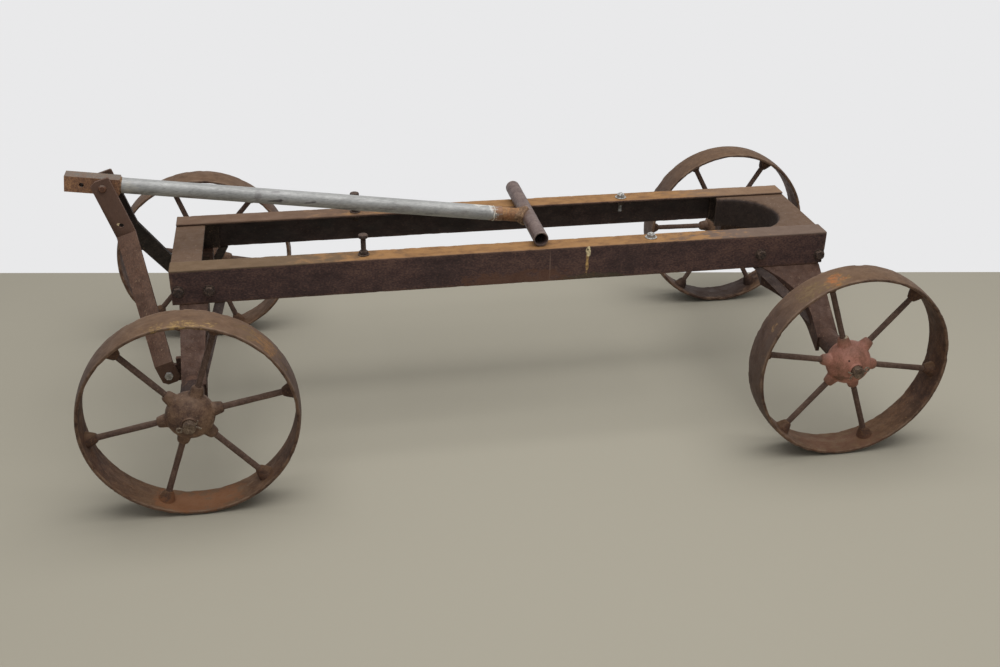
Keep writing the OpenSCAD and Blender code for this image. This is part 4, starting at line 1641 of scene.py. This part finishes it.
@dataclass
class Fasteners:
    """Bolts through the rails' flanges and webs. They are trim on the chassis."""

    dresser: Dresser
    flange: float = 6.0
    washer_t: float = 2.0
    pitch: float = 1.6
    thread: float = 0.35
    proud: float = 48.0
    below: float = 22.0

    def build(self) -> None:
        """Build the deck bolts and the side bolts."""
        old, bright = Skin(), Skin()
        mount = MOUNTS["deck_bolts"]
        centre, dims = np.array(mount["pos_m"]) / MM, mount["dims"]
        x, y = dims["spacing_x_mm"] / 2, dims["spacing_y_mm"] / 2
        for side in Side:
            turn = 40 * side.value - 17
            self.loose_bolt(old, centre + (-x, side.value * y, 0), turn)
        for side in Side:
            turn = 40 * side.value + 17
            self.tight_bolt(old, bright, centre + (x, side.value * y, 0), turn)
        self.trim(old, "old_deck_bolts", BOLT_RUST, "rail_steel")
        self.trim(bright, "bright_deck_bolts", ZINC_STEEL, "zinc_steel")
        relief = Relief(pit=0.25, cell=4, seed=17)
        self.trim(self.side_bolts(), "side_bolts", BOLT_RUST, "rail_steel", relief)

    def trim(
        self, skin: Skin, name: str, finish: Finish, slot: str, relief: Relief | None = None
    ) -> None:
        """Build a skin of bolts and tie it to the chassis.

        Args:
            skin: The bolts.
            name: Name of the piece.
            finish: Its finish.
            slot: The record's material slot.
            relief: Pits and chips, if any.
        """
        piece = skin.build(name, relief)
        self.dresser.dress(piece, finish)
        self.dresser.tie(piece, "chassis", slot)

    def washer(self, at: Array, axis: Array, wide: float) -> Shell:
        """A flat ring with rounded rims, closed where the bolt goes through.

        Args:
            at: Middle of its lower face.
            axis: Direction from its lower face to its upper one.
            wide: Its outside diameter.

        Returns:
            The washer's shell.
        """
        t, r = self.washer_t, wide / 2
        profile = [(2, 0), (r - 0.4, 0), (r, 0.5), (r, t - 0.5), (r - 0.5, t), (2, t)]
        return turned(profile, at, axis, steps=32)

    def shank(self, at: Array, axis: Array, length: float, wide: float) -> Shell:
        """A threaded shank, whose radius is a cosine of the height, once in each pitch.

        Args:
            at: Middle of its lower end.
            axis: Direction from its lower end to its upper one.
            length: Its length.
            wide: Its outside diameter.

        Returns:
            The shank's shell.
        """
        heights = np.arange(0, length, self.pitch / 4)
        wave = np.cos(heights / self.pitch * 2 * math.pi)
        radius = wide / 2 - self.thread + self.thread * wave
        profile = np.stack([radius, heights], 1)
        end = [[radius[-1] - 1.2, length + 0.8]]
        return turned(np.concatenate([profile, end]), at, axis, steps=20)

    def loose_bolt(self, old: Skin, at: Array, turn: float) -> None:
        """A front deck bolt, which stands loose and high on its shank.

        Args:
            old: Skin of the rusty bolts.
            at: Middle of the hole, on the flange.
            turn: Angle of the head in degrees.
        """
        up, size, under = np.array([0.0, 0.0, 1.0]), DECK_BOLT, self.flange + DECK_BOLT.nut
        length = self.below + self.proud - 8
        shank = self.shank(at - up * self.below, up, length, wide=11.5)
        head = six_sided(at + up * self.washer_t, up, size.across, size.head, turn)
        cap = turned(BOLT_CAP, at + up * (self.proud - 9), up, steps=30)
        nut = six_sided(at - up * under, up, size.across, size.nut, turn + 9)
        old.add(shank, self.washer(at, up, wide=25), head, cap, nut)

    def tight_bolt(self, old: Skin, bright: Skin, at: Array, turn: float) -> None:
        """A rear deck bolt: bright above the flange, with a rusty nut below it.

        Args:
            old: Skin of the rusty bolts.
            bright: Skin of the bright bolts.
            at: Middle of the hole, on the flange.
            turn: Angle of the head in degrees.
        """
        up, size, under = np.array([0.0, 0.0, 1.0]), DECK_BOLT, self.flange + self.washer_t
        head = six_sided(at + up * self.washer_t, up, size.across, size.head, turn)
        shank = self.shank(at - up * 34, up, length=45, wide=10)
        bright.add(self.washer(at, up, wide=27), head, shank)
        nut = six_sided(at - up * (under + size.nut), up, size.across, size.nut, turn)
        old.add(self.washer(at - up * under, up, wide=24), nut)

    def side_bolts(self) -> Skin:
        """Bolts from the rails to the crossmembers' cheeks, two at each end of a rail.

        Returns:
            All eight bolts as one skin.
        """
        front = np.array(JOINTS["front_left_spin"]["pos_m"]) / MM
        skin = Skin()
        for side in Side:
            low, high = box_mm(f"{side.word}_rail")
            face = side.value * max(abs(low[1]), abs(high[1]))
            out = np.array([0.0, side.value, 0.0])
            for number, (x, z) in enumerate(SIDE_BOLTS_AT):
                at = np.array([front[0] + x, face, z])
                skin.add(self.washer(at - out * 0.4, out, wide=26))
                head = at + out * 1.4
                turn = 13 * number + 5
                skin.add(six_sided(head, out, SIDE_BOLT.across, SIDE_BOLT.head, turn))
        return skin


# ---------------------------------------------------------------- the studio


@dataclass
class Studio:
    """Pale floor, white wall, soft light from above and the camera."""

    floor: str = "#aaa494"
    wall: str = "#e9e9ea"
    camera_at: tuple[float, float, float] = (-454.27, -2425.1, 1424.5)
    yaw: float = 0.1898
    pitch: float = 0.4809
    roll: float = 0.0164
    lens: float = 42.08
    wall_line: tuple[float, float, float, float] = (-1239.0, 840.0, 1543.0, 425.0)
    wall_run: float = 20000.0
    wall_h: float = 9000.0
    floor_half: float = 30000.0
    room_light: float = 0.33
    lamp_at: tuple[float, float, float] = (200.0, -700.0, 3400.0)
    lamp_size: tuple[float, float] = (4200.0, 3200.0)
    lamp_watts: float = 108.0

    def build(self) -> None:
        """Build the whole studio and set the view."""
        self.ground()
        self.backdrop()
        self.lights()
        self.camera()
        bpy.context.scene.view_settings.view_transform = "Standard"

    def sheet(self, name: str, corners: list) -> bpy.types.Object:
        """A flat sheet that isn't part of the cart.

        Args:
            name: Name of the sheet.
            corners: Its four corners in millimetres.

        Returns:
            The sheet.
        """
        mesh = bpy.data.meshes.new(name)
        mesh.from_pydata((np.array(corners) * MM).tolist(), [], [range(4)])
        sheet = bpy.data.objects.new(name, mesh)
        bpy.context.scene.collection.objects.link(sheet)
        return sheet

    def ground(self) -> None:
        """A wide plain floor just under the wheels."""
        far = self.floor_half
        corners = [(-far, -far, 0), (far, -far, 0), (far, far, 0), (-far, far, 0)]
        floor = self.sheet("floor", corners)
        material, tree = new_material("smooth_pale_concrete")
        inputs = {"Base Color": linear(self.floor), "Roughness": 0.75}
        shader = add_node(tree, "BsdfPrincipled", inputs)
        add_node(tree, "OutputMaterial", {0: shader.outputs[0]})
        floor.data.materials.append(material)

    def backdrop(self) -> None:
        """A white wall that only shows from its front and casts no light or shadow.

        It glows for camera, glossy and transmission rays that meet its front, and
        is clear for every other ray.
        """
        x0, y0, x1, y1 = self.wall_line
        start, end = np.array([x0, y0]), np.array([x1, y1])
        run = unit(end - start)
        left, right = start - run * self.wall_run, end + run * self.wall_run
        corners = [(*left, 0), (*right, 0), (*right, self.wall_h), (*left, self.wall_h)]
        wall = self.sheet("backdrop", corners)
        material, tree = new_material("white_painted_wall")
        path = add_node(tree, "LightPath", {})
        seen = path.outputs["Is Camera Ray"]
        for kind in ("Is Glossy Ray", "Is Transmission Ray"):
            inputs = {0: seen, 1: path.outputs[kind]}
            seen = add_node(tree, "Math", inputs, operation="MAXIMUM").outputs[0]
        facing = add_node(tree, "NewGeometry", {}).outputs["Backfacing"]
        inputs = {0: seen, 1: facing}
        shown = add_node(tree, "Math", inputs, operation="SUBTRACT", use_clamp=True)
        clear = add_node(tree, "BsdfTransparent", {}).outputs[0]
        glow = add_node(tree, "Emission", {0: linear(self.wall), 1: 1.0}).outputs[0]
        mix = add_node(tree, "MixShader", {0: shown.outputs[0], 1: clear, 2: glow})
        add_node(tree, "OutputMaterial", {0: mix.outputs[0]})
        wall.data.materials.append(material)

    def lights(self) -> None:
        """Even light from all round, with a wide soft lamp overhead."""
        world = bpy.data.worlds.new("soft_room")
        bpy.context.scene.world = world
        world.use_nodes = True
        tree = world.node_tree
        tree.nodes.clear()
        sky = add_node(tree, "Background", {0: (1, 1, 1, 1), 1: self.room_light})
        add_node(tree, "OutputWorld", {0: sky.outputs[0]})
        lamp = bpy.data.lights.new("ceiling_lamp", "AREA")
        lamp.shape = "RECTANGLE"
        lamp.size, lamp.size_y = (size * MM for size in self.lamp_size)
        lamp.energy = self.lamp_watts
        holder = bpy.data.objects.new("ceiling_lamp", lamp)
        holder.location = Vector(self.lamp_at) * MM
        bpy.context.scene.collection.objects.link(holder)

    def camera(self) -> None:
        """Place the camera from its yaw, pitch and roll."""
        cy, sy = math.cos(self.yaw), math.sin(self.yaw)
        cp, sp = math.cos(self.pitch), math.sin(self.pitch)
        cr, sr = math.cos(self.roll), math.sin(self.roll)
        ahead = Vector((sy * cp, cy * cp, -sp))
        level = Vector((cy, -sy, 0.0))
        above = level.cross(ahead)
        right = cr * level + sr * above
        up = -sr * level + cr * above
        turn = Matrix((right, up, -ahead)).transposed().to_4x4()
        lens = bpy.data.cameras.new("camera")
        lens.sensor_width = 36.0
        lens.lens = self.lens
        holder = bpy.data.objects.new("camera", lens)
        holder.matrix_world = Matrix.Translation(Vector(self.camera_at) * MM) @ turn
        bpy.context.scene.collection.objects.link(holder)
        bpy.context.scene.camera = holder


# Turn of each wheel, and of its split pin, in degrees.
WHEEL_TURNS = {
    "front_left": (11.0, 193.0),
    "front_right": (49.0, 120.0),
    "rear_left": (50.0, 17.0),
    "rear_right": (59.0, 250.0),
}


def main() -> None:
    logging.basicConfig(level=logging.INFO, format="%(name)s: %(message)s")
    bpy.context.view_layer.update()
    Studio().build()
    dresser = Dresser()
    parts: list[Any] = [Rails(dresser), Undercarriage(dresser)]
    for corner, (turn, pin_turn) in WHEEL_TURNS.items():
        parts += [Wheel(dresser, corner, turn), Spindle(dresser, corner, pin_turn)]
    parts += [Yoke(dresser), Drawbar(dresser), Fasteners(dresser)]
    for part in parts:
        part.build()


if __name__ == "__main__":
    main()
